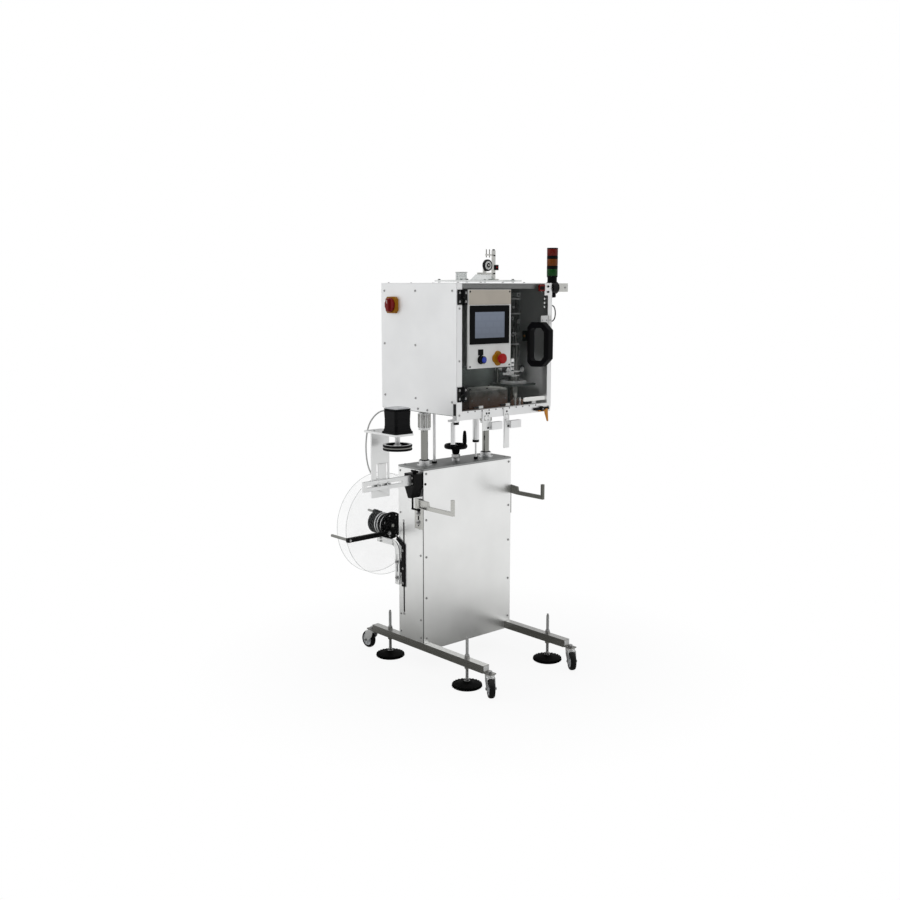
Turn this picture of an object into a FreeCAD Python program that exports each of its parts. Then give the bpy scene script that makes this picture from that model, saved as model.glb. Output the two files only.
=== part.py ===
"""Shrink sleeve applicator on a wheeled stand: every physical piece as its own solid, in millimetres.

X runs to the right along the wide front, Y runs to the rear, Z is up. The origin lies on the floor midway between
the four levelling feet, in the plane of the cabinet's front face.
"""

import FreeCAD
import Part

import math
import os

V = FreeCAD.Vector

# Clearances
gap = 0.3
running_gap = 0.05
loose_gap = 1.0

# Base frame of square tube
tube = 32.0
tube_wall = 2.0
base_width = 500.0
beam_front_y = -350.0
beam_rear_y = 345.0
beam_bottom_z = 86.0
cross_tube_front_y = 16.0
cross_tube_rear_y = 114.0
beam_top_z = beam_bottom_z + tube
beam_mid_x = base_width / 2 - tube / 2

# Levelling feet
foot_spacing_y = 490.0
stud_r = 6.0
stud_top_z = 205.0
stud_cap_r = 8.5
stud_cap_h = 7.0
pad_r = 62.0
pad_rim_h = 13.0
pad_dome_h = 26.0
pad_neck_r = 13.0
pad_rib_count = 24
pad_rib_r = 2.6
nut_flats = 19.0
nut_h = 10.0
foot_travel_z = 30.0

# Casters
wheel_r = 37.5
wheel_w = 25.0
wheel_floor_gap = 1.0
wheel_trail = 26.0
caster_reach = 26.5
fork_clearance = 5.0
front_caster_turn = -34.0
axle_r = 4.0
fork_t = 3.0
fork_side_gap = 1.5
crown_r = 19.0
crown_h = 7.0
caster_plate_t = 5.0
king_pin_r = 5.0

# Cabinet
cab_depth = 162.0
cab_top_z = 853.0
top_plate_t = 8.0
sheet = 2.0
front_panel_bottom_z = 84.0
reel_slot_y = 129.0
reel_slot_w = 9.0
reel_slot_bottom_z = 225.0
reel_slot_top_z = 614.0

# Lift
column_r = 15.0
column_spacing = 350.0
column_y = 82.0
collar_r = 25.0
collar_h = 70.0
guide_boss_r = 24.0
guide_boss_h = 20.0
guide_flange_r = 31.0
guide_flange_h = 5.0
yoke_z = 590.0
yoke_h = 30.0
yoke_d = 44.0
screw_r = 10.0
screw_bottom_z = 515.0
wheel_rim_rise = 61.0
wheel_rim_z = cab_top_z + wheel_rim_rise
hand_rim_r = 43.0
hand_rim_tube_r = 7.0
grip_r = 9.0
grip_h = 58.0
grip_offset_x = 28.0
grip_offset_y = -25.0
grip_pin_r = 3.0
height_rod_r = 6.0
height_rod_x = -114.0
height_rod_y = 90.0
height_rod_top_z = 1250.0
strut_rod_r = 4.0
strut_x = 89.0
strut_y = 53.0
strut_rod_top_z = 1088.0
strut_body_r = 14.0
strut_body_rise = 73.0
strut_body_bottom_z = cab_top_z + strut_body_rise

# Head
head_w = 531.0
head_front_y = -215.0
head_rear_y = 246.0
head_top_z = 1598.0
head_top_t = 3.0
side_panel_bottom_z = 1088.0
frame_bottom_z = 1070.0
frame_rail_h = 35.0
frame_d = 25.0
left_post_w = 27.0
right_post_w = 22.0
floor_z = 1086.0
floor_t = 8.0
collar_bottom_z = floor_z - collar_h - 16.0
mech_plate_y = -18.0
mech_plate_t = 12.0
mech_plate_top_z = 1560.0
corner_plate_w = 45.0
corner_plate_h = 50.0
corner_plate_t = 4.0
arm_tube = 35.0
arm_length = 96.0
switch_plate = 66.0
switch_plate_t = 14.0
switch_plate_corner = 10.0
switch_y = 167.5
switch_z = 1510.0
switch_knob_r = 29.0
switch_knob_t = 19.5
switch_knob_base_t = 10.0
switch_spindle_r = 6.0

# Sleeve mechanism
sleeve_x = 165.0
sleeve_y = -95.0
mandrel_r = 22.0
mandrel_bottom_z = 1102.0
mandrel_waist_z = 1330.0
mandrel_tip_z = 1420.0
mandrel_blade_top_z = 1500.0
blade_half_w = 26.0
blade_foot_half_w = 7.0
blade_corner = 20.0
blade_root = 40.0
blade_t = 4.0
deck_z = 1176.0
deck_t = 8.0
rotor_r = 55.0
rotor_bore_r = 30.0
rotor_h = 20.0
knife_count = 3
feed_roller_r = 18.0
feed_roller_w = 22.0
feed_roller_z = 1240.0
feed_shaft_r = 6.0
feed_motor = 33.0
film_slot_w = 90.0
film_slot_d = 44.0
tray_x0 = -150.0
tray_x1 = 60.0
tray_y0 = -165.0
tray_y1 = -60.0
tray_h = 84.0

# Door
door_t = 5.0
door_gap = 2.5
door_bottom_z = 1108.0
door_top_z = 1594.0
hinge_x = -237.0
hinge_y = -224.0
hinge_pin_r = 3.0
hinge_knuckle_r = 6.0
hinge_h = 58.0
hinge_low_z = 1142.0
hinge_high_z = 1514.0
hinge_leaf_t = 5.0
hinge_leaf_w = 23.0
hmi_x0 = -212.0
hmi_w = 229.0
hmi_z0 = 1268.0
hmi_h = 304.0
hmi_face_t = 10.0
hmi_box_d = 55.0
hmi_box_inset = 8.0
screen_w = 212.0
screen_h = 149.0
screen_t = 4.0
screen_z0 = 1362.0
estop_x = -56.0
estop_z = 1304.0
estop_guard_r = 30.0
estop_guard_t = 7.0
estop_r = 20.0
estop_stem_r = 8.0
estop_travel = 6.0
estop_head_t = 22.0
start_x = -148.0
start_z = 1302.0
start_barrel_r = 14.0
start_barrel_t = 20.0
start_r = 11.0
start_travel = 4.0
handle_base_x = 135.0
handle_grip_x = 175.0
handle_grip_y = -285.0
handle_z0 = 1262.0
handle_h = 180.0
handle_w = 36.0
handle_leg_rise = 34.0

# Under the head
bracket_t = 4.0
bracket_1_x = -129.0
bracket_1_w = 42.0
bracket_1_bottom_z = 1020.0
bracket_2_x = -11.0
bracket_2_w = 30.0
bracket_2_bottom_z = 940.0
bracket_top_z = 1098.0
sensor_w = 54.0
sensor_h = 30.0
sensor_d = 18.0
latch_x = 205.0
latch_z = 1084.0
latch_half_bar = 44.0

# Top unit and signal light
clear_plate_z = 1604.0
clear_plate_t = 6.0
clear_plate_x0 = -85.0
clear_plate_x1 = 208.0
clear_plate_y0 = -100.0
clear_plate_y1 = 125.0
plate_post_r = 5.0
plate_post_inset = 16.0
slot_to_post = 8.0
slot_mouth_w = 16.0
slot_mouth_end = 30.0
spool_x = 10.0
spool_y = 60.0
spool_r = 23.0
spool_wall = 5.0
spool_h = 34.0
guide_wheel_x = 141.0
guide_wheel_y = 41.0
guide_wheel_rise = 62.0
guide_wheel_z = clear_plate_z + clear_plate_t + guide_wheel_rise
guide_wheel_r = 24.5
guide_wheel_w = 14.0
guide_post_x = 193.0
guide_post = 12.0
guide_post_h = 125.0
stand_to_wheel = 10.0
stand_foot_left = 22.0
stand_foot_right = 14.0
stand_foot_front = 18.0
stand_foot_rear = 10.0
stand_foot_h = 6.0
stand_bar_rise = 24.0
stand_bar_h = 8.0
stand_bar_t = 8.0
stand_bar_reach = 40.0
stand_block_rise = 42.0
stand_block_h = 24.0
stand_block_left = 12.0
stand_block_right = 16.0
stand_block_front = 14.0
stand_block_rear = 10.0
stand_arm_drop = 22.0
stand_arm_h = 6.0
stand_arm_t = 6.0
stand_arm_reach = 46.0
stand_pin_h = 34.0
stand_pin_r = 2.5
stand_pin_places = (42.0, 24.0)
stand_stud_r = 4.0
stand_stud_end = 2.0
stand_stud_root = 6.0
stand_hub_r = 8.0
stand_hub_w = 14.0
light_x = 283.0
light_r = 22.5
light_base_h = 30.0
light_foot_h = 4.0
lens_h = 28.0
light_ring_h = 13.0
light_cap_h = 4.0

# Container gap wheel
bar_y0 = 23.0
bar_t = 10.0
bar_z0 = 789.0
bar_h = 41.0
bar_left_x = -537.0
bar_slide = 30.0
bar_slot_end_x = -345.0
bar_slot_w = 9.0
clamp_w = 48.0
clamp_y0 = 4.0
clamp_y1 = 64.0
clamp_cap_h = 5.0
clamp_h = 100.0
clamp_side_h = 52.0
clamp_top_z = bar_z0 + bar_h + clamp_cap_h
clamp_point_z = clamp_top_z - clamp_h
clamp_stem_r = 4.0
carrier_x0 = -487.0
carrier_w = 88.0
carrier_t = 8.0
carrier_bottom_z = 759.0
carrier_top_z = 1017.0
carrier_slot_w = 9.0
carrier_slot_bottom_z = 787.0
carrier_slot_top_z = 893.0
motor_plate_y0 = -117.0
motor_plate_y1 = 82.0
motor_x = -443.0
motor_y = -73.0
motor_flange = 86.0
motor_flange_t = 10.0
motor_body = 72.0
motor_body_h = 90.0
motor_taper_h = 16.0
gap_wheel_r = 57.0
gap_wheel_z0 = 960.0
gap_wheel_h = 22.0
gap_hub_r = 10.0
cable_r = 3.0
cable_out_z = 1108.0
cable_in_z = 828.0

# Film reel
reel_x = -203.0
reel_z = 570.0
reel_r = 220.0
flange_t = 3.0
reel_near_y = 298.0
reel_width = 60.0
hub_r = 46.0
hub_plate_t = 10.0
spindle_r = 8.0
bearing_y = 262.0
bearing_t = 12.0
bearing_r = 58.0
bearing_foot_t = 8.0
bearing_foot_front = 12.0
bearing_foot_rear = 16.0
slide_bar_y0 = 120.0
slide_bar_w = 18.0
slide_bar_z0 = 337.0
slide_bar_z1 = 513.0
slide_bar_t = 5.7
slide_tab_z0 = 395.0
slide_tab_z1 = 440.0
bracket_leg_y0 = 146.0
bracket_leg_w = 28.0
bracket_leg_z0 = 343.0
bracket_bend_r = 46.0
bracket_slot_w = 8.0
bracket_slot_top_z = 470.0
bracket_arm_z0 = 505.0
bracket_arm_h = 25.0
bracket_arm_end_y = 296.0
reel_bracket_t = 6.0
dancer_pivot_x = -240.0
dancer_z = 545.0
dancer_length = 205.0
dancer_bar = 18.0
dancer_y = 249.0
dancer_roller_r = 6.0
dancer_roller_end_y = 372.0
dancer_pin_r = 3.0

# Conveyor hooks
hook_t = 12.0
hook_plate_y0 = 2.0
hook_plate_y1 = 50.0
hook_plate_z0 = 603.0
hook_plate_z1 = 728.0
hook_arm_z0 = 689.0
hook_arm_h = 16.0
hook_end_y = -190.0
hook_up_z = 754.0
hook_slot_w = 9.0


def box(x0, x1, y0, y1, z0, z1):
    """A block between two corners."""
    return Part.makeBox(x1 - x0, y1 - y0, z1 - z0, V(x0, y0, z0))


def rod(axis, start, radius, length):
    """A cylinder that starts at a point and runs along +axis."""
    direction = {"x": V(1, 0, 0), "y": V(0, 1, 0), "z": V(0, 0, 1)}[axis]
    return Part.makeCylinder(radius, length, V(*start), direction)


def ring(axis, start, outer, inner, length):
    """A tube that starts at a point and runs along +axis."""
    return rod(axis, start, outer, length).cut(rod(axis, start, inner, length))


def prism(points, direction):
    """A flat outline, given as points, swept along a vector."""
    corners = [V(*p) for p in points]
    wire = Part.makePolygon(corners + [corners[0]])
    return Part.Face(wire).extrude(V(*direction))


def turned(profile, axis_at, axis=(0, 0, 1)):
    """A turned piece: the outline is (radius, height) pairs, closed along the axis."""
    corners = [V(r, 0, h) for r, h in profile]
    wire = Part.makePolygon(corners + [corners[0]])
    shape = Part.Face(wire).revolve(V(0, 0, 0), V(0, 0, 1), 360)
    if axis == (0, 1, 0):
        shape.rotate(V(0, 0, 0), V(1, 0, 0), -90)
    shape.translate(V(*axis_at))
    return shape


def upright_slot(axis, start, width, z0, z1, depth):
    """The cutter for a vertical slot with round ends, through a sheet whose normal is axis."""
    x, y = start
    r = width / 2
    ends = [rod(axis, (x, y, z), r, depth) for z in (z0 + r, z1 - r)]
    if axis == "x":
        middle = box(x, x + depth, y - r, y + r, z0 + r, z1 - r)
    else:
        middle = box(x - r, x + r, y, y + depth, z0 + r, z1 - r)
    return middle.fuse(ends)


def hexagon(centre, flats, height):
    """A hexagonal nut blank standing on a point."""
    x, y, z = centre
    r = flats / math.sqrt(3)
    points = [
        (x + r * math.cos(math.radians(60 * i)), y + r * math.sin(math.radians(60 * i)), z)
        for i in range(6)
    ]
    return prism(points, (0, 0, height))


def mirror_x(shape):
    """The same piece on the other side of the machine."""
    return shape.mirror(V(0, 0, 0), V(1, 0, 0))


def one(shapes):
    """Several overlapping solids as one piece."""
    return shapes[0].fuse(shapes[1:]).removeSplitter()


foot_places = {
    "front_left": (-beam_mid_x, -foot_spacing_y / 2),
    "front_right": (beam_mid_x, -foot_spacing_y / 2),
    "rear_left": (-beam_mid_x, foot_spacing_y / 2),
    "rear_right": (beam_mid_x, foot_spacing_y / 2),
}
caster_places = {
    "front_left": (-beam_mid_x, beam_front_y - caster_reach, -1, front_caster_turn),
    "front_right": (beam_mid_x, beam_front_y - caster_reach, -1, front_caster_turn),
    "rear_left": (-beam_mid_x, beam_rear_y + caster_reach, 1, 0.0),
    "rear_right": (beam_mid_x, beam_rear_y + caster_reach, 1, 0.0),
}
wheel_z = wheel_floor_gap + wheel_r
fork_top_z = wheel_z + wheel_r + fork_clearance
caster_plate_z = fork_top_z + crown_h + gap
half = head_w / 2
post_left_x1 = -half + sheet + left_post_w
post_right_x0 = half - sheet - right_post_w
cross_tube_x = base_width / 2 - tube


def tube_y(x0, y0, y1, z0):
    """A square tube along Y."""
    outer = box(x0, x0 + tube, y0, y1, z0, z0 + tube)
    w = tube_wall
    return outer.cut(box(x0 + w, x0 + tube - w, y0, y1, z0 + w, z0 + tube - w))


def tube_x(x0, x1, y0, z0):
    """A square tube along X."""
    outer = box(x0, x1, y0, y0 + tube, z0, z0 + tube)
    w = tube_wall
    return outer.cut(box(x0, x1, y0 + w, y0 + tube - w, z0 + w, z0 + tube - w))


def base_frame():
    """The welded foot frame: two long tubes, two cross tubes, and an angle plate for each caster."""
    parts = []
    for side in (-1, 1):
        x0 = side * beam_mid_x - tube / 2
        parts.append(tube_y(x0, beam_front_y, beam_rear_y, beam_bottom_z))
    for y0 in (cross_tube_front_y, cross_tube_rear_y):
        parts.append(tube_x(-cross_tube_x - tube_wall / 2, cross_tube_x + tube_wall / 2, y0, beam_bottom_z))
    for x, y, out, _ in caster_places.values():
        end_y = beam_front_y if out < 0 else beam_rear_y
        near, far = sorted((end_y - out * 1.0, end_y + out * caster_plate_t))
        parts.append(box(x - tube / 2, x + tube / 2, near, far, caster_plate_z, beam_top_z))
        near, far = sorted((end_y - out * 1.0, y + out * crown_r))
        flat = box(x - tube / 2, x + tube / 2, near, far, caster_plate_z, caster_plate_z + caster_plate_t)
        parts.append(flat)
    for x, y in foot_places.values():
        parts.append(hexagon((x, y, beam_bottom_z - nut_h), nut_flats, nut_h + 1.0))
        parts.append(hexagon((x, y, beam_top_z - 1.0), nut_flats, nut_h + 1.0))
    frame = one(parts)
    for x, y in foot_places.values():
        frame = frame.cut(rod("z", (x, y, 0), stud_r + running_gap, stud_top_z))
    for x, y, out, _ in caster_places.values():
        frame = frame.cut(rod("z", (x, y, 0), king_pin_r + running_gap, beam_bottom_z + tube / 2))
    return frame


def levelling_foot(x, y):
    """A domed, ribbed pad with its threaded stud moulded in."""
    outline = [
        (0, 0),
        (pad_r - 4, 0),
        (pad_r, 4),
        (pad_r, pad_rim_h),
        (pad_r - 6, pad_rim_h + 3),
        (pad_neck_r + 6, pad_dome_h - 4),
        (pad_neck_r, pad_dome_h),
        (stud_r, pad_dome_h),
        (stud_r, stud_top_z - stud_cap_h),
        (stud_cap_r, stud_top_z - stud_cap_h),
        (stud_cap_r, stud_top_z),
        (0, stud_top_z),
    ]
    foot = turned(outline, (x, y, 0))
    for i in range(pad_rib_count):
        a = 2 * math.pi * i / pad_rib_count
        centre = (x + pad_r * math.cos(a), y + pad_r * math.sin(a), 4.0)
        foot = foot.cut(rod("z", centre, pad_rib_r, pad_rim_h))
    return foot


def caster_fork(x, y, out, turn):
    """A swivel fork: crown with its king pin, and two cheeks that carry the axle."""
    inner = wheel_w / 2 + fork_side_gap
    axle_y = y + out * wheel_trail
    crown = rod("z", (x, y, fork_top_z), crown_r, crown_h)
    pin = rod("z", (x, y, fork_top_z), king_pin_r, crown_h + caster_plate_t + 6.0)
    bridge_near, bridge_far = sorted((y - out * crown_r, axle_y))
    bridge = box(x - inner - fork_t, x + inner + fork_t, bridge_near, bridge_far, fork_top_z - fork_t, fork_top_z)
    parts = [crown, pin, bridge]
    for side in (-1, 1):
        x0 = x + side * inner - (fork_t if side < 0 else 0)
        outline = [
            (x0, y - out * crown_r, fork_top_z),
            (x0, axle_y, fork_top_z),
            (x0, axle_y + out * 11, wheel_z + 4),
            (x0, axle_y + out * 7, wheel_z - 9),
            (x0, axle_y - out * 7, wheel_z - 9),
            (x0, y - out * (crown_r - 6), fork_top_z - 22),
        ]
        parts.append(prism(outline, (fork_t, 0, 0)))
    axle_x0 = x - inner - fork_t - 3.0
    parts.append(rod("x", (axle_x0, axle_y, wheel_z), axle_r, 2 * (x - axle_x0)))
    fork = one(parts)
    fork.rotate(V(x, y, 0), V(0, 0, 1), turn)
    return fork


def caster_wheel(x, y, out, turn):
    """A grey hub with a black tyre bonded on, turning on the fork's axle."""
    r, w = wheel_r, wheel_w
    outline = [
        (axle_r + running_gap, -w / 2),
        (r * 0.34, -w / 2),
        (r * 0.40, -w * 0.32),
        (r * 0.66, -w * 0.32),
        (r * 0.72, -w * 0.44),
        (r * 0.90, -w * 0.44),
        (r, -w * 0.24),
        (r, w * 0.24),
        (r * 0.90, w * 0.44),
        (r * 0.72, w * 0.44),
        (r * 0.66, w * 0.32),
        (r * 0.40, w * 0.32),
        (r * 0.34, w / 2),
        (axle_r + running_gap, w / 2),
    ]
    wheel = turned(outline, (0, 0, 0))
    wheel.rotate(V(0, 0, 0), V(0, 1, 0), 90)
    wheel.translate(V(x, y + out * wheel_trail, wheel_z))
    wheel.rotate(V(x, y, 0), V(0, 0, 1), turn)
    return wheel


def cabinet():
    """The front panel with its lower tongue, the folded side and rear sheet, and the dark top plate."""
    w = base_width / 2
    skirt = w - tube - gap
    shell_z0 = beam_top_z + gap
    shell_z1 = cab_top_z - top_plate_t
    front = box(-w, w, 0, sheet, shell_z0, shell_z1)
    front = one([front, box(-skirt, skirt, 0, sheet, front_panel_bottom_z, shell_z0 + 1.0)])
    outer = box(-w, w, sheet, cab_depth, shell_z0, shell_z1)
    inner = box(-w + sheet, w - sheet, sheet, cab_depth - sheet, shell_z0, shell_z1)
    shell = outer.cut(inner)
    slot = upright_slot("x", (-w, reel_slot_y), reel_slot_w, reel_slot_bottom_z, reel_slot_top_z, sheet)
    shell = shell.cut(slot)
    plate = box(-w, w, 0, cab_depth, shell_z1, cab_top_z)
    for side in (-1, 1):
        x = side * column_spacing / 2
        plate = plate.fuse(rod("z", (x, column_y, cab_top_z - 1.0), guide_boss_r, guide_boss_h + 1.0))
        plate = plate.fuse(rod("z", (x, column_y, cab_top_z - 1.0), guide_flange_r, guide_flange_h + 1.0))
    plate = plate.fuse(rod("z", (0, column_y, cab_top_z - 1.0), screw_r + 7.0, 10.0))
    plate = plate.removeSplitter()
    for side in (-1, 1):
        bore = rod("z", (side * column_spacing / 2, column_y, shell_z1), column_r + running_gap, 60.0)
        plate = plate.cut(bore)
    plate = plate.cut(rod("z", (0, column_y, shell_z1), screw_r + running_gap, 60.0))
    return front, shell, plate


def guide_rods():
    """The height rod and the lift strut's rod, both standing on the cabinet's top plate."""
    height_rod = rod("z", (height_rod_x, height_rod_y, cab_top_z), height_rod_r, height_rod_top_z - cab_top_z)
    strut_rod = rod("z", (strut_x, strut_y, cab_top_z), strut_rod_r, strut_rod_top_z - cab_top_z)
    return [height_rod, strut_rod]


def lift_frame():
    """Both columns with their split collars, joined inside the cabinet by the yoke that holds the lift nut."""
    half_span = column_spacing / 2
    parts = []
    for side in (-1, 1):
        x = side * half_span
        parts.append(rod("z", (x, column_y, yoke_z), column_r, floor_z - yoke_z))
        collar = rod("z", (x, column_y, collar_bottom_z), collar_r, collar_h)
        split = box(x - collar_r, x - column_r, column_y - 1, column_y + 1, collar_bottom_z, collar_bottom_z + collar_h)
        parts.append(collar.cut(split))
    y0 = column_y - yoke_d / 2
    parts.append(box(-half_span - column_r, half_span + column_r, y0, y0 + yoke_d, yoke_z, yoke_z + yoke_h))
    parts.append(rod("z", (0, column_y, yoke_z - 12.0), screw_r + 8.0, yoke_h + 12.0))
    frame = one(parts)
    return frame.cut(rod("z", (0, column_y, 0), screw_r + running_gap, head_top_z))


def handwheel():
    """The dished handwheel with its lift screw and the pin of the grip."""
    rim = Part.makeTorus(hand_rim_r, hand_rim_tube_r, V(0, column_y, wheel_rim_z))
    z = wheel_rim_z
    dish = turned(
        [
            (0, z - 34),
            (screw_r + 4, z - 34),
            (screw_r + 9, z - 14),
            (hand_rim_r - 2, z - 5),
            (hand_rim_r - 2, z + 3),
            (screw_r + 12, z - 5),
            (screw_r + 4, z + 2),
            (0, z + 2),
        ],
        (0, column_y, 0),
    )
    screw = rod("z", (0, column_y, screw_bottom_z), screw_r, z - screw_bottom_z - 10)
    nut = hexagon((0, column_y, z - 46), 30.0, 13.0)
    pin_at = (grip_offset_x, column_y + grip_offset_y, z - 4)
    pin = rod("z", pin_at, grip_pin_r, grip_h + 8)
    seat = rod("z", pin_at, 8.0, hand_rim_tube_r + 4)
    return one([rim, dish, screw, nut, pin, seat])


def handwheel_grip():
    """The revolving grip on the handwheel's pin."""
    z0 = wheel_rim_z + hand_rim_tube_r + gap
    r = grip_r
    outline = [
        (grip_pin_r + running_gap, 0),
        (r * 0.75, 0),
        (r, grip_h * 0.25),
        (r * 0.85, grip_h * 0.8),
        (r * 0.55, grip_h),
        (grip_pin_r + running_gap, grip_h),
    ]
    return turned(outline, (grip_offset_x, column_y + grip_offset_y, z0))


def strut_body():
    """The lift strut's tube, hanging under the head's floor around its rod."""
    return ring("z", (strut_x, strut_y, strut_body_bottom_z), strut_body_r, strut_rod_r + loose_gap,
                floor_z - strut_body_bottom_z)


def door_frame():
    """The front frame: two posts, rails, the corner plate, and the accessory arm with its end plate."""
    y0 = head_front_y
    y1 = y0 + frame_d
    z0 = frame_bottom_z
    z1 = head_top_z - head_top_t
    parts = [
        box(-half + sheet, post_left_x1, y0, y1, z0, z1),
        box(post_right_x0, half - sheet, y0, y1, z0, z1),
        box(-half + sheet, half - sheet, y0, y1, z0, z0 + frame_rail_h),
        box(-half + sheet, half - sheet, y1 - 15, y1, z1 - 20, z1),
    ]
    plate_x1 = half
    corner_z0 = head_top_z - corner_plate_h
    corner = box(plate_x1 - corner_plate_w, plate_x1, y0, y0 + corner_plate_t, corner_z0, z1)
    arm_z1 = head_top_z - 1.0
    arm = box(half - sheet - 1.0, half + arm_length, y0, y0 + arm_tube, arm_z1 - arm_tube, arm_z1)
    parts += [corner, arm]
    return one(parts)


def head_panels():
    """The two side panels, with the main switch plate on the left one, and the rear and top cover."""
    z1 = head_top_z - head_top_t
    left = box(-half, -half + sheet, head_front_y, head_rear_y, side_panel_bottom_z, z1)
    right = mirror_x(left)
    arm_z1 = head_top_z - 1.0
    notch = box(half - sheet, half, head_front_y, head_front_y + arm_tube + gap, arm_z1 - arm_tube - gap, z1)
    right = right.cut(notch)
    right = right.cut(box(half - sheet, half, head_front_y, head_front_y + corner_plate_t + gap,
                          head_top_z - corner_plate_h - gap, z1))
    r = switch_plate / 2
    plate = box(-half - switch_plate_t, -half, switch_y - r, switch_y + r, switch_z - r, switch_z + r)
    corners = [e for e in plate.Edges if e.BoundBox.XLength > switch_plate_t - 0.1]
    plate = plate.makeChamfer(switch_plate_corner, corners)
    left = one([left, plate])
    bore_x0 = -half - switch_plate_t
    left = left.cut(rod("x", (bore_x0, switch_y, switch_z), switch_spindle_r + running_gap, switch_plate_t + sheet))
    inner_x = half - sheet
    back = box(-inner_x, inner_x, head_rear_y - sheet, head_rear_y, side_panel_bottom_z, z1)
    top = box(-half, half, head_front_y, head_rear_y, z1, head_top_z)
    cover = one([back.fuse(box(-inner_x, inner_x, head_rear_y - sheet, head_rear_y, z1 - 1, z1)), top])
    slot_x0 = sleeve_x - film_slot_w / 2
    slot_y0 = sleeve_y - film_slot_d / 2
    cover = cover.cut(box(slot_x0, slot_x0 + film_slot_w, slot_y0, slot_y0 + film_slot_d, z1, head_top_z))
    arm_cut = box(half - sheet - 1 - gap, half, head_front_y, head_front_y + arm_tube + gap, z1, head_top_z)
    cover = cover.cut(arm_cut)
    return [left, right], cover


def main_switch_knob():
    """The red main switch: a round base, a bar grip across it and its spindle."""
    x1 = -half - switch_plate_t - gap
    base_x0 = x1 - switch_knob_base_t
    base = rod("x", (base_x0, switch_y, switch_z), switch_knob_r, switch_knob_base_t)
    grip = box(x1 - switch_knob_t, base_x0 + 1, switch_y - 8, switch_y + 8,
               switch_z - switch_knob_r + 2, switch_z + switch_knob_r - 2)
    spindle = rod("x", (x1 - 1, switch_y, switch_z), switch_spindle_r, switch_plate_t + sheet)
    return one([base, grip, spindle])


def mechanism_frame():
    """The head's floor and the upright mechanism plate, with the cutter deck, roller motors and drive cover."""
    inner_x = half - sheet
    floor = box(-inner_x, inner_x, head_front_y + frame_d + gap, head_rear_y - sheet, floor_z, floor_z + floor_t)
    y0 = mech_plate_y - mech_plate_t
    plate = box(-inner_x, inner_x, y0, mech_plate_y, floor_z + floor_t - 1, mech_plate_top_z)
    deck = box(sleeve_x - 72, sleeve_x + 72, sleeve_y - 60, y0 + 1, deck_z, deck_z + deck_t)
    tray = box(tray_x0, tray_x1, tray_y0, tray_y1, floor_z + floor_t - 1, floor_z + floor_t + tray_h)
    tray = tray.makeChamfer(8.0, [e for e in tray.Edges if e.BoundBox.ZMin > floor_z + floor_t + tray_h - 1])
    parts = [floor, plate, deck, tray]
    for x in feed_roller_x():
        parts.append(box(x - feed_motor, x + feed_motor, mech_plate_y - 1, mech_plate_y + 70,
                         feed_roller_z - feed_motor, feed_roller_z + feed_motor))
    motor_x0 = sleeve_x + 50
    parts.append(rod("z", (motor_x0, mech_plate_y + 44, deck_z - 60), 34.0, 78.0))
    parts.append(box(motor_x0 - 20, motor_x0 + 20, mech_plate_y - 1, mech_plate_y + 40, deck_z - 50, deck_z))
    frame = one(parts)
    frame = frame.cut(rod("z", (sleeve_x, sleeve_y, floor_z), rotor_bore_r + 10, floor_t))
    frame = frame.cut(rod("z", (sleeve_x, sleeve_y, deck_z), rotor_bore_r, deck_t))
    frame = frame.cut(rod("z", (height_rod_x, height_rod_y, floor_z), height_rod_r + loose_gap, floor_t))
    frame = frame.cut(rod("z", (strut_x, strut_y, floor_z), strut_rod_r + loose_gap, floor_t))
    for x in feed_roller_x():
        frame = frame.cut(rod("y", (x, y0 - 1, feed_roller_z), feed_shaft_r + running_gap, 40.0))
    return frame


def feed_roller_x():
    """Where the two feed rollers stand, one each side of the mandrel."""
    reach = mandrel_r + gap + feed_roller_r
    return (sleeve_x - reach, sleeve_x + reach)


def mandrel():
    """The film-opening mandrel: a round body with a tapered top that ends in a flat blade."""
    r = mandrel_r
    body = turned(
        [
            (0, mandrel_bottom_z),
            (r - 2, mandrel_bottom_z),
            (r, mandrel_bottom_z + 2),
            (r, mandrel_waist_z),
            (r * 0.35, mandrel_tip_z),
            (0, mandrel_tip_z),
        ],
        (sleeve_x, sleeve_y, 0),
    )
    y0 = sleeve_y - blade_t / 2
    top_half_w = blade_half_w - blade_corner * 0.3
    blade_outline = [
        (sleeve_x - blade_foot_half_w, y0, mandrel_tip_z - blade_root),
        (sleeve_x + blade_foot_half_w, y0, mandrel_tip_z - blade_root),
        (sleeve_x + blade_half_w, y0, mandrel_blade_top_z - blade_corner),
        (sleeve_x + top_half_w, y0, mandrel_blade_top_z),
        (sleeve_x - top_half_w, y0, mandrel_blade_top_z),
        (sleeve_x - blade_half_w, y0, mandrel_blade_top_z - blade_corner),
    ]
    return one([body, prism(blade_outline, (0, blade_t, 0))])


def feed_roller(x):
    """One feed roller with its shaft through the mechanism plate."""
    y0 = sleeve_y - feed_roller_w / 2
    shaft_end = mech_plate_y + 8.0
    roller = rod("y", (x, y0, feed_roller_z), feed_roller_r, feed_roller_w)
    groove = ring("y", (x, sleeve_y - 1.5, feed_roller_z), feed_roller_r, feed_roller_r - 1.5, 3.0)
    shaft = rod("y", (x, y0 - 4, feed_roller_z), feed_shaft_r, shaft_end - y0 + 4)
    return one([roller.cut(groove), shaft])


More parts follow.
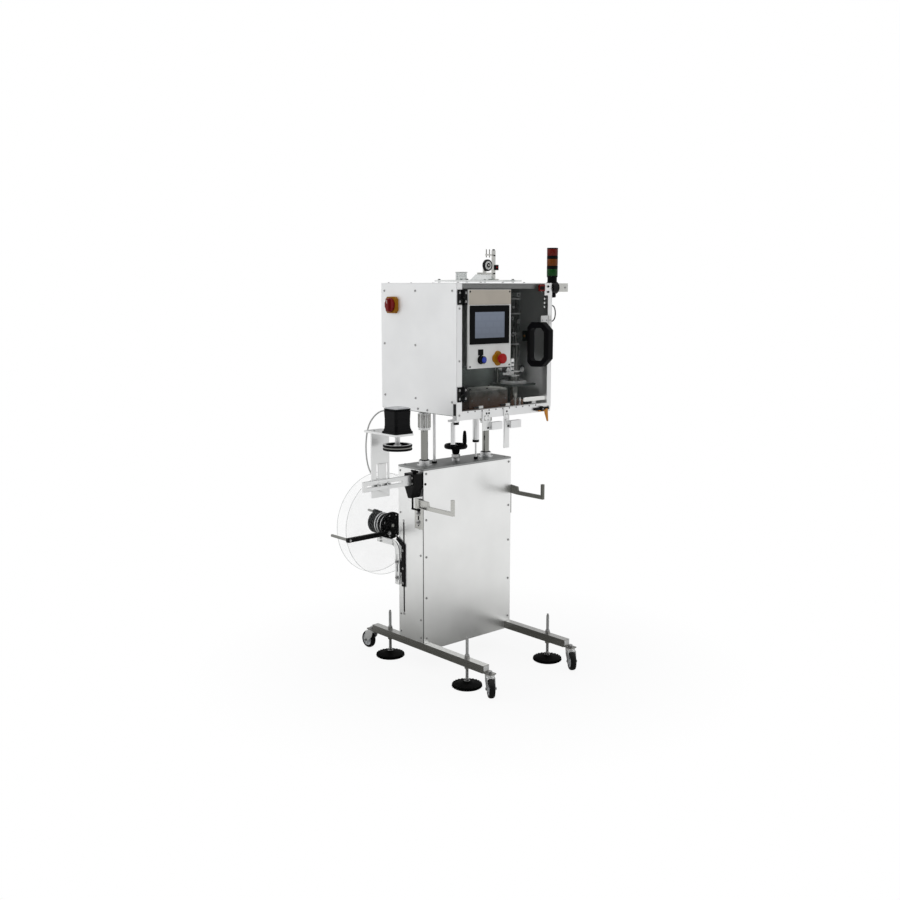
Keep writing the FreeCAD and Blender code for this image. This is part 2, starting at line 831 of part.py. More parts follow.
def cutter_rotor():
    """The rotary cutter: a ring around the mandrel with three knife carriers on it."""
    z0 = deck_z + deck_t + gap
    rotor = ring("z", (sleeve_x, sleeve_y, z0), rotor_r, rotor_bore_r, rotor_h * 0.5)
    parts = [rotor]
    for i in range(knife_count):
        carrier = box(rotor_bore_r - 4, rotor_r - 6, -7, 7, z0 + 1, z0 + rotor_h)
        carrier.rotate(V(0, 0, 0), V(0, 0, 1), 360.0 * i / knife_count)
        carrier.translate(V(sleeve_x, sleeve_y, 0))
        parts.append(carrier)
    return one(parts)


def hinge_bands():
    """The two heights at which the door is hung."""
    return (hinge_low_z, hinge_high_z)


def door_hinges():
    """The frame-side hinge leaves with their upper knuckles and pins."""
    pieces = []
    for z0 in hinge_bands():
        mid = z0 + hinge_h / 2
        leaf = box(hinge_x - hinge_leaf_w, hinge_x - hinge_knuckle_r + 2, head_front_y - hinge_leaf_t,
                   head_front_y, z0, z0 + hinge_h)
        leaf = leaf.cut(rod("z", (hinge_x, hinge_y, z0 - 1), hinge_knuckle_r + gap, hinge_h / 2 + 1 + gap))
        knuckle = rod("z", (hinge_x, hinge_y, mid + gap), hinge_knuckle_r, hinge_h / 2 - gap)
        arm = box(hinge_x - hinge_knuckle_r, hinge_x, hinge_y, head_front_y, mid + gap, z0 + hinge_h)
        pin = rod("z", (hinge_x, hinge_y, z0 + 2), hinge_pin_r, hinge_h - 3)
        pieces.append(one([leaf, knuckle, arm, pin]))
    return pieces


def door_panel():
    """The clear door with its window for the operator box, its corner notch and the door-side hinge leaves."""
    y0 = head_front_y
    x0 = post_left_x1 + door_gap
    x1 = post_right_x0 - door_gap
    panel = box(x0, x1, y0, y0 + door_t, door_bottom_z, door_top_z)
    m = hmi_box_inset
    window = box(hmi_x0 + m - gap, hmi_x0 + hmi_w - m + gap, y0, y0 + door_t,
                 hmi_z0 + m - gap, hmi_z0 + hmi_h - m + gap)
    corner = box(half - corner_plate_w - door_gap, half, y0, y0 + door_t,
                 head_top_z - corner_plate_h - door_gap, head_top_z)
    panel = panel.cut(window).cut(corner)
    for z0 in hinge_bands():
        mid = z0 + hinge_h / 2
        leaf = box(hinge_x + hinge_knuckle_r - 1, hinge_x + hinge_leaf_w, y0 - hinge_leaf_t, y0 + 1,
                   z0, z0 + hinge_h)
        leaf = leaf.cut(rod("z", (hinge_x, hinge_y, mid - gap), hinge_knuckle_r + gap, hinge_h))
        knuckle = rod("z", (hinge_x, hinge_y, z0), hinge_knuckle_r, hinge_h / 2)
        arm = box(hinge_x + 1, hinge_x + hinge_knuckle_r + 2, hinge_y, y0, z0, mid)
        shape = one([leaf, knuckle, arm])
        shape = shape.cut(rod("z", (hinge_x, hinge_y, z0), hinge_pin_r + running_gap, hinge_h))
        panel = one([panel, shape])
    return panel


def hmi_housing():
    """The operator box: a face on the door, a body through the window, and the two button seats."""
    y0 = head_front_y - hmi_face_t
    x1 = hmi_x0 + hmi_w
    z1 = hmi_z0 + hmi_h
    m = hmi_box_inset
    face = box(hmi_x0, x1, y0, head_front_y, hmi_z0, z1)
    body = box(hmi_x0 + m, x1 - m, head_front_y - 1, head_front_y + hmi_box_d, hmi_z0 + m, z1 - m)
    guard = rod("y", (estop_x, y0 - estop_guard_t, estop_z), estop_guard_r, estop_guard_t + 1)
    barrel = rod("y", (start_x, y0 - start_barrel_t, start_z), start_barrel_r, start_barrel_t + 1)
    housing = one([face, body, guard, barrel])
    estop_bore = rod("y", (estop_x, y0 - estop_guard_t, estop_z), estop_stem_r + running_gap, 34.0)
    start_bore = rod("y", (start_x, y0 - start_barrel_t, start_z), start_r + running_gap, 22.0)
    return housing.cut(estop_bore).cut(start_bore)


def touch_screen():
    """The touch screen's bezel, with its glass a little below the rim."""
    y1 = head_front_y - hmi_face_t
    x0 = hmi_x0 + 5.0
    bezel = box(x0, x0 + screen_w, y1 - screen_t, y1, screen_z0, screen_z0 + screen_h)
    glass = box(x0 + 26, x0 + screen_w - 26, y1 - screen_t, y1 - screen_t + 1, screen_z0 + 24,
                screen_z0 + screen_h - 26)
    return bezel.cut(glass)


def estop_button():
    """The mushroom head with its stem in the guard's bore."""
    y1 = head_front_y - hmi_face_t - estop_guard_t - estop_travel - gap
    r = estop_r
    head = turned(
        [
            (0, 0),
            (estop_stem_r + 3, 0),
            (r, 8),
            (r, estop_head_t - 5),
            (r - 4, estop_head_t),
            (0, estop_head_t),
        ],
        (0, 0, 0),
    )
    head.rotate(V(0, 0, 0), V(1, 0, 0), 90)
    head.translate(V(estop_x, y1, estop_z))
    stem = rod("y", (estop_x, y1 - 1, estop_z), estop_stem_r, 24.0)
    return one([head, stem])


def start_button():
    """The illuminated pushbutton in its barrel."""
    y_face = head_front_y - hmi_face_t - start_barrel_t
    proud = start_travel + 1.0
    cap = rod("y", (start_x, y_face - proud, start_z), start_r, proud + 12.0)
    rim = [e for e in cap.Edges if abs(e.BoundBox.YMax - (y_face - proud)) < 0.01 and e.Closed]
    return cap.makeFillet(2.0, rim)


def door_handle():
    """The bridge handle: a base strip on the door, two splayed legs and a grip bar."""
    w = handle_w / 2
    y_door = head_front_y
    z0 = handle_z0
    z1 = handle_z0 + handle_h
    base = box(handle_base_x - w, handle_base_x + w, y_door - 14, y_door, z0 + 20, z1 - 20)
    grip_y1 = handle_grip_y + 12
    grip = box(handle_grip_x - w + 3, handle_grip_x + w - 3, handle_grip_y - 10, grip_y1, z0 + 20, z1 - 20)
    parts = [base, grip]
    for low in (True, False):
        end = z0 if low else z1
        inner = z0 + handle_leg_rise if low else z1 - handle_leg_rise
        rise = 1 if low else -1
        points = [
            (handle_base_x - w, y_door, end + rise * 20),
            (handle_base_x - w + 8, y_door - 18, end),
            (handle_grip_x - w + 3, grip_y1 - 4, end),
            (handle_grip_x - w + 3, handle_grip_y - 10, end + rise * 20),
            (handle_grip_x - w + 3, handle_grip_y - 10, inner),
            (handle_base_x - w, y_door, inner),
        ]
        leg = leg_solid(points, 2 * w - 3)
        parts.append(leg)
    return one(parts)


def leg_solid(points, width):
    """A splayed leg: the convex solid over a side outline and the same outline moved along X."""
    near = [V(*p) for p in points]
    far = [p + V(width, 0, 0) for p in near]
    faces = []
    n = len(near)
    for outline in (near, far):
        centre = outline[0]
        for i in range(1, n - 1):
            faces.append(Part.Face(Part.makePolygon([centre, outline[i], outline[i + 1], centre])))
    for i in range(n):
        j = (i + 1) % n
        faces.append(Part.Face(Part.makePolygon([near[i], near[j], far[j], far[i], near[i]])))
    shell = Part.Shell(faces)
    solid = Part.Solid(shell)
    return solid if solid.Volume > 0 else solid.reversed()


def sensor_brackets():
    """Two drilled strips hanging from the front rail, each with a sensor block."""
    y0 = head_front_y - bracket_t
    pieces = []
    for x0, w, bottom, sensor_z in (
        (bracket_1_x, bracket_1_w, bracket_1_bottom_z, bracket_1_bottom_z + 2),
        (bracket_2_x, bracket_2_w, bracket_2_bottom_z, bracket_1_bottom_z),
    ):
        strip = box(x0, x0 + w, y0, head_front_y, bottom, bracket_top_z)
        sensor = box(x0 + w - 4, x0 + w + sensor_w, y0 - sensor_d + bracket_t, head_front_y,
                     sensor_z, sensor_z + sensor_h)
        piece = one([strip, sensor])
        for z in range(int(sensor_z + sensor_h + 10), int(bracket_top_z - 6), 16):
            for x in (x0 + w * 0.3, x0 + w * 0.7):
                piece = piece.cut(rod("y", (x, y0, z), 3.2, bracket_t))
        pieces.append(piece)
    return pieces


def latch_lever():
    """The amber-tipped latch lever on the front rail."""
    y0 = head_front_y - gap - 8
    bar = box(latch_x - latch_half_bar, latch_x + latch_half_bar, y0, y0 + 8, latch_z - 6, latch_z + 6)
    hub = rod("y", (latch_x, y0 - 4, latch_z), 11.0, 12.0)
    tip_x = latch_x + latch_half_bar - 16
    points = [
        (tip_x - 7, y0, latch_z - 2),
        (tip_x + 7, y0, latch_z - 2),
        (tip_x + 12, y0, latch_z - 56),
        (tip_x + 7, y0, latch_z - 56),
    ]
    return one([bar, hub, prism(points, (0, 7, 0))])


def film_inlet_plate():
    """The raised clear plate on its stand-offs, with the clear guide spool."""
    z0 = clear_plate_z
    plate = box(clear_plate_x0, clear_plate_x1, clear_plate_y0, clear_plate_y1, z0, z0 + clear_plate_t)
    plate = plate.makeFillet(10.0, [e for e in plate.Edges if e.BoundBox.ZLength > clear_plate_t - 0.1])
    slot_x0 = sleeve_x - film_slot_w / 2
    slot_y0 = sleeve_y - film_slot_d / 2
    front_post_y = slot_y0 + film_slot_d + slot_to_post + plate_post_r
    parts = [plate]
    for x in (clear_plate_x0 + plate_post_inset, clear_plate_x1 - plate_post_inset):
        for y in (front_post_y, clear_plate_y1 - plate_post_inset):
            parts.append(rod("z", (x, y, head_top_z), plate_post_r, z0 - head_top_z + 1))
    spool_z0 = z0 + clear_plate_t - 1
    parts.append(ring("z", (spool_x, spool_y, spool_z0), spool_r, spool_r - spool_wall, spool_h + 1))
    shape = one(parts)
    mouth = box(slot_x0, clear_plate_x1 - slot_mouth_end, slot_y0 + film_slot_d - slot_mouth_w,
                slot_y0 + film_slot_d, z0, z0 + clear_plate_t)
    return shape.cut(mouth)


def guide_wheel_stand():
    """The post on the clear plate with its cross bar, sensor block, wheel stud and film guide pins."""
    z0 = clear_plate_z + clear_plate_t
    h = guide_post / 2
    x = guide_post_x
    y = guide_wheel_y + guide_wheel_w / 2 + stand_to_wheel
    wheel_back = guide_wheel_y + guide_wheel_w / 2
    wheel_front = guide_wheel_y - guide_wheel_w / 2
    bar_z = z0 + stand_bar_rise
    bar_h_y = stand_bar_t / 2
    hub_h = stand_hub_w / 2
    block_z = z0 + stand_block_rise
    top = z0 + guide_post_h
    arm_z = top - stand_arm_drop
    stud_w = guide_wheel_w + stand_stud_end + stand_stud_root
    parts = [
        box(x - h, x + h, y - h, y + h, z0, top),
        box(x - stand_foot_left, x + stand_foot_right, y - stand_foot_front, y + stand_foot_rear,
            z0, z0 + stand_foot_h),
        box(guide_wheel_x - stand_bar_reach, x, y - bar_h_y, y + bar_h_y, bar_z, bar_z + stand_bar_h),
        box(x - stand_block_left, x + stand_block_right, y - stand_block_front, y + stand_block_rear,
            block_z, block_z + stand_block_h),
        box(guide_wheel_x - hub_h, guide_wheel_x + hub_h, y - bar_h_y, y + bar_h_y,
            bar_z, guide_wheel_z + stand_hub_r),
        rod("y", (guide_wheel_x, wheel_back + gap, guide_wheel_z), stand_hub_r, y - wheel_back),
        rod("y", (guide_wheel_x, wheel_front - stand_stud_end, guide_wheel_z), stand_stud_r, stud_w),
        box(x - stand_arm_reach, x, y - stand_arm_t / 2, y + stand_arm_t / 2, arm_z, arm_z + stand_arm_h),
    ]
    for place in stand_pin_places:
        parts.append(rod("z", (x - place, y, arm_z - stand_bar_h), stand_pin_r, stand_pin_h))
    return one(parts)


def guide_wheel():
    """The film guide wheel: black tyre on a pale hub, on the stand's stud."""
    r = guide_wheel_r
    w = guide_wheel_w
    outline = [
        (stand_stud_r + running_gap, -w / 2),
        (r * 0.35, -w / 2),
        (r * 0.40, -w * 0.3),
        (r * 0.66, -w * 0.3),
        (r * 0.70, -w * 0.46),
        (r - 1.5, -w * 0.46),
        (r, -w * 0.3),
        (r, w * 0.3),
        (r - 1.5, w * 0.46),
        (r * 0.70, w * 0.46),
        (r * 0.66, w * 0.3),
        (r * 0.40, w * 0.3),
        (r * 0.35, w / 2),
        (stand_stud_r + running_gap, w / 2),
    ]
    return turned(outline, (guide_wheel_x, guide_wheel_y, guide_wheel_z), (0, 1, 0))


def stack_light():
    """The signal light: base, rings and cap on a core tube, and its three hollow lenses."""
    y = head_front_y + arm_tube / 2
    z = head_top_z - 1.0
    r = light_r
    foot_r = light_x - half - gap
    parts = [rod("z", (light_x, y, z + light_foot_h), r - 1.5, light_base_h - light_foot_h)]
    parts.append(rod("z", (light_x, y, z), foot_r, light_foot_h + 1.0))
    lenses = []
    at = z + light_base_h
    for i in range(3):
        lenses.append(ring("z", (light_x, y, at), r, r - 3, lens_h))
        at += lens_h
        height = light_ring_h if i < 2 else light_cap_h
        parts.append(rod("z", (light_x, y, at), r, height))
        at += height
    parts.append(rod("z", (light_x, y, z), 9.0, at - z))
    return one(parts), lenses


def clamp_centre_y():
    """The middle of the cross bar across its thickness."""
    return bar_y0 + bar_t / 2


def bar_clamp_block():
    """The pointed clamp block on the cabinet's left side, with the slot that the cross bar slides in."""
    x0 = -base_width / 2 - clamp_w
    mid_y = (clamp_y0 + clamp_y1) / 2
    points = [
        (x0, clamp_y0, clamp_top_z),
        (x0, clamp_y1, clamp_top_z),
        (x0, clamp_y1, clamp_top_z - clamp_side_h),
        (x0, mid_y + 8, clamp_point_z),
        (x0, mid_y - 8, clamp_point_z),
        (x0, clamp_y0, clamp_top_z - clamp_side_h),
    ]
    block = prism(points, (clamp_w, 0, 0))
    slot = box(x0, -base_width / 2 - 4, bar_y0 - gap, bar_y0 + bar_t + gap, bar_z0 - gap, bar_z0 + bar_h + gap)
    crank = rod("z", (x0 + 18, mid_y, clamp_point_z - 46), 4.0, 50.0)
    foot = rod("y", (x0 + 18, mid_y - 32, clamp_point_z - 46), 4.0, 36.0)
    block = one([block.cut(slot), crank, foot])
    bore_z0 = bar_z0 + bar_h
    bore_h = clamp_top_z - bore_z0 + 1.0
    return block.cut(rod("z", (x0 + 24, clamp_centre_y(), bore_z0), clamp_stem_r + running_gap, bore_h))


def clamp_lever():
    """The T-handled clamping screw on top of the clamp block."""
    x = -base_width / 2 - clamp_w + 24
    y = clamp_centre_y()
    z0 = bar_z0 + bar_h + gap
    neck_h = clamp_top_z - z0 + 10
    stem = rod("z", (x, y, z0), clamp_stem_r, neck_h)
    hub = rod("z", (x, y, clamp_top_z + gap), 8.0, 10.0)
    bar = rod("y", (x, y - 20, clamp_top_z + 9), 4.5, 40.0)
    return one([stem, hub, bar])


def cross_bar():
    """The slotted bar that reaches out to the left."""
    x1 = -base_width / 2 - 4 - gap
    bar = box(bar_left_x, x1, bar_y0, bar_y0 + bar_t, bar_z0, bar_z0 + bar_h)
    z = bar_z0 + bar_h / 2
    r = bar_slot_w / 2
    slot = box(bar_left_x + 20, bar_slot_end_x, bar_y0, bar_y0 + bar_t, z - r, z + r)
    ends = [rod("y", (x, bar_y0, z), r, bar_t) for x in (bar_left_x + 20, bar_slot_end_x)]
    return bar.cut(slot.fuse(ends))


def wheel_bracket():
    """The upright plate behind the cross bar with the motor plate on top of it."""
    y0 = bar_y0 + bar_t + gap
    x0 = carrier_x0
    x1 = carrier_x0 + carrier_w
    upright = box(x0, x1, y0, y0 + carrier_t, carrier_bottom_z, carrier_top_z)
    for x in (x0 + 28, x1 - 11):
        slot = upright_slot("y", (x, y0), carrier_slot_w, carrier_slot_bottom_z, carrier_slot_top_z, carrier_t)
        upright = upright.cut(slot)
    top = box(x0, x1, motor_plate_y0, motor_plate_y1, carrier_top_z - 0.5, carrier_top_z + carrier_t)
    bracket = one([upright, top])
    shaft_hole = rod("z", (motor_x, motor_y, carrier_top_z - 1), gap_hub_r + 3, carrier_t + 2)
    return bracket.cut(shaft_hole)


def gap_wheel_motor():
    """The square motor with its flared flange, standing on the motor plate."""
    z0 = carrier_top_z + carrier_t
    f = motor_flange / 2
    b = motor_body / 2
    flange = box(motor_x - f, motor_x + f, motor_y - f, motor_y + f, z0, z0 + motor_flange_t)
    flange = flange.makeChamfer(5.0, [e for e in flange.Edges if e.BoundBox.ZLength > motor_flange_t - 0.1])
    z1 = z0 + motor_flange_t
    low = Part.makePolygon([V(motor_x + sx * (f - 5), motor_y + sy * (f - 5), z1)
                            for sx, sy in ((-1, -1), (1, -1), (1, 1), (-1, 1), (-1, -1))])
    high = Part.makePolygon([V(motor_x + sx * b, motor_y + sy * b, z1 + motor_taper_h)
                             for sx, sy in ((-1, -1), (1, -1), (1, 1), (-1, 1), (-1, -1))])
    taper = Part.makeLoft([low, high], True, True)
    z2 = z1 + motor_taper_h
    body = box(motor_x - b, motor_x + b, motor_y - b, motor_y + b, z2, z2 + motor_body_h - motor_taper_h)
    body = body.makeFillet(6.0, [e for e in body.Edges if e.BoundBox.ZLength > 20])
    return one([flange, taper, body])


def gap_wheel():
    """The horizontal wheel that spaces the containers, with its hub up to the motor."""
    z0 = gap_wheel_z0
    r = gap_wheel_r
    h = gap_wheel_h
    outline = [
        (0, z0 + 3),
        (r - 16, z0 + 3),
        (r - 12, z0),
        (r - 2, z0),
        (r, z0 + 2),
        (r, z0 + h * 0.42),
        (r - 2.5, z0 + h * 0.46),
        (r - 2.5, z0 + h * 0.56),
        (r, z0 + h * 0.6),
        (r, z0 + h - 2),
        (r - 2, z0 + h),
        (r - 12, z0 + h),
        (r - 16, z0 + h - 8),
        (gap_hub_r + 4, z0 + h - 10),
        (gap_hub_r, z0 + h + 8),
        (gap_hub_r, carrier_top_z + carrier_t - gap),
        (0, carrier_top_z + carrier_t - gap),
    ]
    return turned(outline, (motor_x, motor_y, 0))


# The motor cable's route, from the motor's rear face round the plate's end into the upright plate
cable_route = [
    (motor_x, motor_y + motor_body / 2, cable_out_z),
    (motor_x, motor_y + motor_body / 2 + 31.0, cable_out_z),
    (motor_x - 4, 28.0, cable_out_z - 6.0),
    (motor_x - 9, 62.0, cable_out_z - 28.0),
    (motor_x - 14, 90.0, cable_out_z - 64.0),
    (motor_x - 18, 100.0, 1000.0),
    (motor_x - 20, 103.0, 950.0),
    (motor_x - 17, 102.0, 903.0),
    (motor_x - 11, 97.0, cable_in_z + 38.0),
    (motor_x - 4, 84.0, cable_in_z + 12.0),
    (motor_x, 64.0, cable_in_z),
    (motor_x, bar_y0 + bar_t + gap + carrier_t, cable_in_z),
]


def cable(route, radius):
    """A round cable along straight runs joined by tangent arcs."""
    points = [V(*p) for p in route]
    edges = []
    at = points[0]
    for i in range(1, len(points) - 1):
        before = points[i] - points[i - 1]
        after = points[i + 1] - points[i]
        turn = before.getAngle(after)
        arc_r = 0.45 * min(before.Length, after.Length) / math.tan(turn / 2)
        reach = arc_r * math.tan(turn / 2)
        start = points[i] - before.normalize() * reach
        end = points[i] + after.normalize() * reach
        towards = (start + end) * 0.5 - points[i]
        centre_gap = arc_r / math.cos(turn / 2) - arc_r
        middle = points[i] + towards.normalize() * centre_gap
        edges.append(Part.LineSegment(at, start).toShape())
        edges.append(Part.Arc(start, middle, end).toShape())
        at = end
        print("cable bend", i, "radius", round(arc_r, 1))
    edges.append(Part.LineSegment(at, points[-1]).toShape())
    path = Part.Wire(edges)
    direction = points[1] - points[0]
    circle = Part.Wire(Part.Circle(points[0], direction, radius).toShape())
    tube_shape = path.makePipeShell([circle], True, False)
    print("cable volume over section times length",
          round(tube_shape.Volume / (math.pi * radius**2 * path.Length), 4))
    return tube_shape


def reel_carriage():
    """The slide bar in the cabinet's slot, the curved bracket bolted to it and the bearing plate at its end."""
    w = base_width / 2
    x1 = -w - gap
    x0 = x1 - slide_bar_t
    y0 = slide_bar_y0
    y1 = slide_bar_y0 + slide_bar_w
    tab_y = bracket_leg_y0 + bracket_leg_w
    points = [
        (x0, y0, slide_bar_z0),
        (x0, y1, slide_bar_z0),
        (x0, y1, slide_tab_z0),
        (x0, tab_y, slide_tab_z0),
        (x0, tab_y, slide_tab_z1),
        (x0, y1, slide_tab_z1),
        (x0, y1, slide_bar_z1 - 4),
        (x0, tab_y, slide_bar_z1 + 20),
        (x0, tab_y - 6, slide_bar_z1 + 34),
        (x0, y0, slide_bar_z1 + 6),
    ]
    bar = prism(points, (slide_bar_t, 0, 0))
    r = reel_slot_w / 2 - loose_gap
    tongue = box(x1 - 1, -w + sheet + 4, reel_slot_y - r, reel_slot_y + r, slide_bar_z0 + 8, slide_bar_z1 - 8)
    keeper = box(-w + sheet + gap, -w + sheet + 4, reel_slot_y - 12, reel_slot_y + 12,
                 slide_bar_z0 + 8, slide_bar_z1 - 8)
    bar = one([bar, tongue, keeper])

    leg_y0 = bracket_leg_y0
    leg_y1 = bracket_leg_y0 + bracket_leg_w
    z_top = bracket_arm_z0 + bracket_arm_h
    outer_r = bracket_bend_r
    inner_r = outer_r - bracket_leg_w
    bx0 = x0 - reel_bracket_t
    centre = (leg_y0 + outer_r, z_top - outer_r)
    inner_centre = (leg_y1 + inner_r, bracket_arm_z0 - inner_r)
    s = math.sqrt(0.5)

    def at(y, z):
        return V(bx0, y, z)

    edges = [
        Part.LineSegment(at(leg_y0, bracket_leg_z0), at(leg_y1, bracket_leg_z0)),
        Part.LineSegment(at(leg_y1, bracket_leg_z0), at(leg_y1, inner_centre[1])),
        Part.Arc(at(leg_y1, inner_centre[1]),
                 at(inner_centre[0] - inner_r * s, inner_centre[1] + inner_r * s),
                 at(inner_centre[0], bracket_arm_z0)),
        Part.LineSegment(at(inner_centre[0], bracket_arm_z0), at(bracket_arm_end_y, bracket_arm_z0)),
        Part.LineSegment(at(bracket_arm_end_y, bracket_arm_z0), at(bracket_arm_end_y, z_top)),
        Part.LineSegment(at(bracket_arm_end_y, z_top), at(centre[0], z_top)),
        Part.Arc(at(centre[0], z_top), at(centre[0] - outer_r * s, centre[1] + outer_r * s),
                 at(leg_y0, centre[1])),
        Part.LineSegment(at(leg_y0, centre[1]), at(leg_y0, bracket_leg_z0)),
    ]
    wire = Part.Wire([e.toShape() for e in edges])
    bracket = Part.Face(wire).extrude(V(reel_bracket_t, 0, 0))
    slot_y = (leg_y0 + leg_y1) / 2
    slot = upright_slot("x", (bx0, slot_y), bracket_slot_w, bracket_leg_z0 + 10, bracket_slot_top_z, reel_bracket_t)
    bracket = bracket.cut(slot)
    return bar, bracket


def reel_bearing_plate():
    """The round bearing plate with the lug that bolts to the bracket and the boss of the dancer arm."""
    y0 = bearing_y
    inner_x = -base_width / 2 - gap - slide_bar_t
    disc = rod("y", (reel_x, y0, reel_z), bearing_r, bearing_t)
    lug_z0 = bracket_arm_z0
    lug = box(inner_x, reel_x, y0, y0 + bearing_t, lug_z0, reel_z)
    foot = box(inner_x, inner_x + bearing_foot_t, y0 - bearing_foot_front, y0 + bearing_t + bearing_foot_rear,
               lug_z0, lug_z0 + bracket_arm_h)
    plate = one([disc, lug, foot])
    return plate.cut(rod("y", (reel_x, y0, reel_z), spindle_r + running_gap, bearing_t))


def reel_hub():
    """The reel's drum with two grooves, its end plates, the spindle and the locking pin."""
    y0 = reel_near_y
    y1 = y0 + flange_t
    y2 = y1 + reel_width
    y3 = y2 + flange_t
    r = hub_r
    outline = [
        (0, bearing_y - 4),
        (spindle_r, bearing_y - 4),
        (spindle_r, bearing_y + bearing_t + gap),
        (spindle_r + 8, bearing_y + bearing_t + gap),
        (spindle_r + 8, y0 - hub_plate_t),
        (r + 3, y0 - hub_plate_t),
        (r + 3, y0),
        (r - 16, y0),
        (r - 16, y1),
        (r, y1),
        (r, y1 + 6),
        (r - 5, y1 + 6),
        (r - 5, y1 + 32),
        (r, y1 + 32),
        (r, y2),
        (r - 16, y2),
        (r - 16, y3),
        (r + 3, y3),
        (r + 3, y3 + hub_plate_t),
        (spindle_r + 6, y3 + hub_plate_t),
        (spindle_r, y3 + hub_plate_t + 8),
        (spindle_r, y3 + hub_plate_t + 38),
        (0, y3 + hub_plate_t + 38),
    ]
    hub = turned(outline, (0, 0, 0), (0, 1, 0))
    hub.translate(V(reel_x, 0, reel_z))
    knob = rod("y", (reel_x, y3, reel_z + r - 4), 11.0, hub_plate_t + 14)
    pin = rod("y", (reel_x, y3, reel_z + r - 4), 5.0, hub_plate_t + 58)
    return one([hub, knob, pin])


def reel_flanges():
    """The two clear side discs of the reel."""
    hole_r = hub_r - 16
    discs = []
    for y in (reel_near_y, reel_near_y + flange_t + reel_width):
        discs.append(ring("y", (reel_x, y, reel_z), reel_r, hole_r, flange_t))
    return discs


def dancer_arm():
    """The square dancer arm with its pivot pin and the roller's pin."""
    h = dancer_bar / 2
    x1 = dancer_pivot_x + h
    x0 = dancer_pivot_x - dancer_length - h
    bar = box(x0, x1, dancer_y - h, dancer_y + h, dancer_z - h, dancer_z + h)
    bar = bar.makeFillet(1.5, bar.Edges)
    pin = rod("y", (dancer_pivot_x - dancer_length, dancer_y, dancer_z), dancer_pin_r,
              dancer_roller_end_y - dancer_y)
    washer = rod("y", (dancer_pivot_x, dancer_y, dancer_z), 8.0, bearing_y - gap - dancer_y)
    return one([bar, pin, washer])


def dancer_roller():
    """The film roller on the dancer arm's pin."""
    y0 = dancer_y + dancer_bar / 2 + gap
    return ring("y", (dancer_pivot_x - dancer_length, y0, dancer_z), dancer_roller_r,
                dancer_pin_r + running_gap, dancer_roller_end_y - y0 - 2)


def conveyor_hook():
    """A slotted side plate with a forward arm and an upturned end, for the left side."""
    x1 = -base_width / 2 - gap
    x0 = x1 - hook_t
    plate = box(x1 - hook_t / 2, x1, hook_plate_y0, hook_plate_y1, hook_plate_z0, hook_plate_z1)
    slot_y = (hook_plate_y0 + hook_plate_y1) / 2
    slot = upright_slot("x", (x0, slot_y), hook_slot_w, hook_plate_z0 + 12, hook_arm_z0 - 4, hook_t)
    plate = plate.cut(slot)
    points = [
        (x0, 18.0, hook_arm_z0 + 39),
        (x0, 18.0, hook_arm_z0 + 4),
        (x0, -36.0, hook_arm_z0),
        (x0, hook_end_y, hook_arm_z0),
        (x0, hook_end_y, hook_up_z),
        (x0, hook_end_y + 12, hook_up_z),
        (x0, hook_end_y + 12, hook_arm_z0 + hook_arm_h),
        (x0, -40.0, hook_arm_z0 + hook_arm_h),
        (x0, -36.0, hook_arm_z0 + 34),
    ]
    return one([plate, prism(points, (hook_t, 0, 0))])


def export(name, shapes):
    """Write one node as a STEP file and say what it holds."""
    solids = shapes if isinstance(shapes, list) else [shapes]
    found = [s for shape in solids for s in shape.Solids]
    if not all(s.isValid() for s in found):
        print("not valid:", name)
    shape = found[0] if len(found) == 1 else Part.makeCompound(found)
    shape.exportStep(os.path.join("parts", name + ".step"))
    print(f"{name}: {len(found)} solid(s), {shape.Volume / 1000:.1f} cm3")


def main():
    """Build every piece and write it."""
    os.makedirs("parts", exist_ok=True)
    export("base_frame", base_frame())
    for name, (x, y) in foot_places.items():
        export("levelling_foot_" + name, levelling_foot(x, y))
    for name, (x, y, out, turn) in caster_places.items():
        export("caster_fork_" + name, caster_fork(x, y, out, turn))
        export("caster_wheel_" + name, caster_wheel(x, y, out, turn))
    front, shell, plate = cabinet()
    export("cabinet_front_panel", front)
    export("cabinet_shell", shell)
    export("cabinet_top_plate", plate)
    export("guide_rods", guide_rods())
    export("lift_frame", lift_frame())
    export("handwheel", handwheel())
    export("handwheel_grip", handwheel_grip())
    export("strut_body", strut_body())
    export("door_frame", door_frame())
    sides, cover = head_panels()
    export("head_side_panels", sides)
    export("head_rear_cover", cover)
    export("main_switch_knob", main_switch_knob())
    export("mechanism_frame", mechanism_frame())
    export("mandrel", mandrel())
    left_x, right_x = feed_roller_x()
    export("feed_roller_left", feed_roller(left_x))
    export("feed_roller_right", feed_roller(right_x))
    export("cutter_rotor", cutter_rotor())
    export("door_hinges", door_hinges())
    export("door_panel", door_panel())
    export("hmi_housing", hmi_housing())
    export("touch_screen", touch_screen())
    export("estop_button", estop_button())
    export("start_button", start_button())
    export("door_handle", door_handle())
    export("sensor_brackets", sensor_brackets())
    export("latch_lever", latch_lever())
    export("film_inlet_plate", film_inlet_plate())
    export("guide_wheel_stand", guide_wheel_stand())
    export("guide_wheel", guide_wheel())
    light, lenses = stack_light()
    export("stack_light_base", light)
    export("stack_light_lenses", lenses)
    export("bar_clamp_block", bar_clamp_block())
    export("clamp_lever", clamp_lever())
    export("cross_bar", cross_bar())
    export("wheel_bracket", wheel_bracket())
    export("gap_wheel_motor", gap_wheel_motor())
    export("gap_wheel", gap_wheel())
    export("motor_cable", cable(cable_route, cable_r))
    bar, bracket = reel_carriage()
    export("reel_slide_bar", bar)
    export("reel_bracket", bracket)
    export("reel_bearing_plate", reel_bearing_plate())
    export("reel_hub", reel_hub())
    export("reel_flanges", reel_flanges())
    export("dancer_arm", dancer_arm())
    export("dancer_roller", dancer_roller())
    hook = conveyor_hook()
    export("conveyor_hook_left", hook)
    export("conveyor_hook_right", mirror_x(hook))


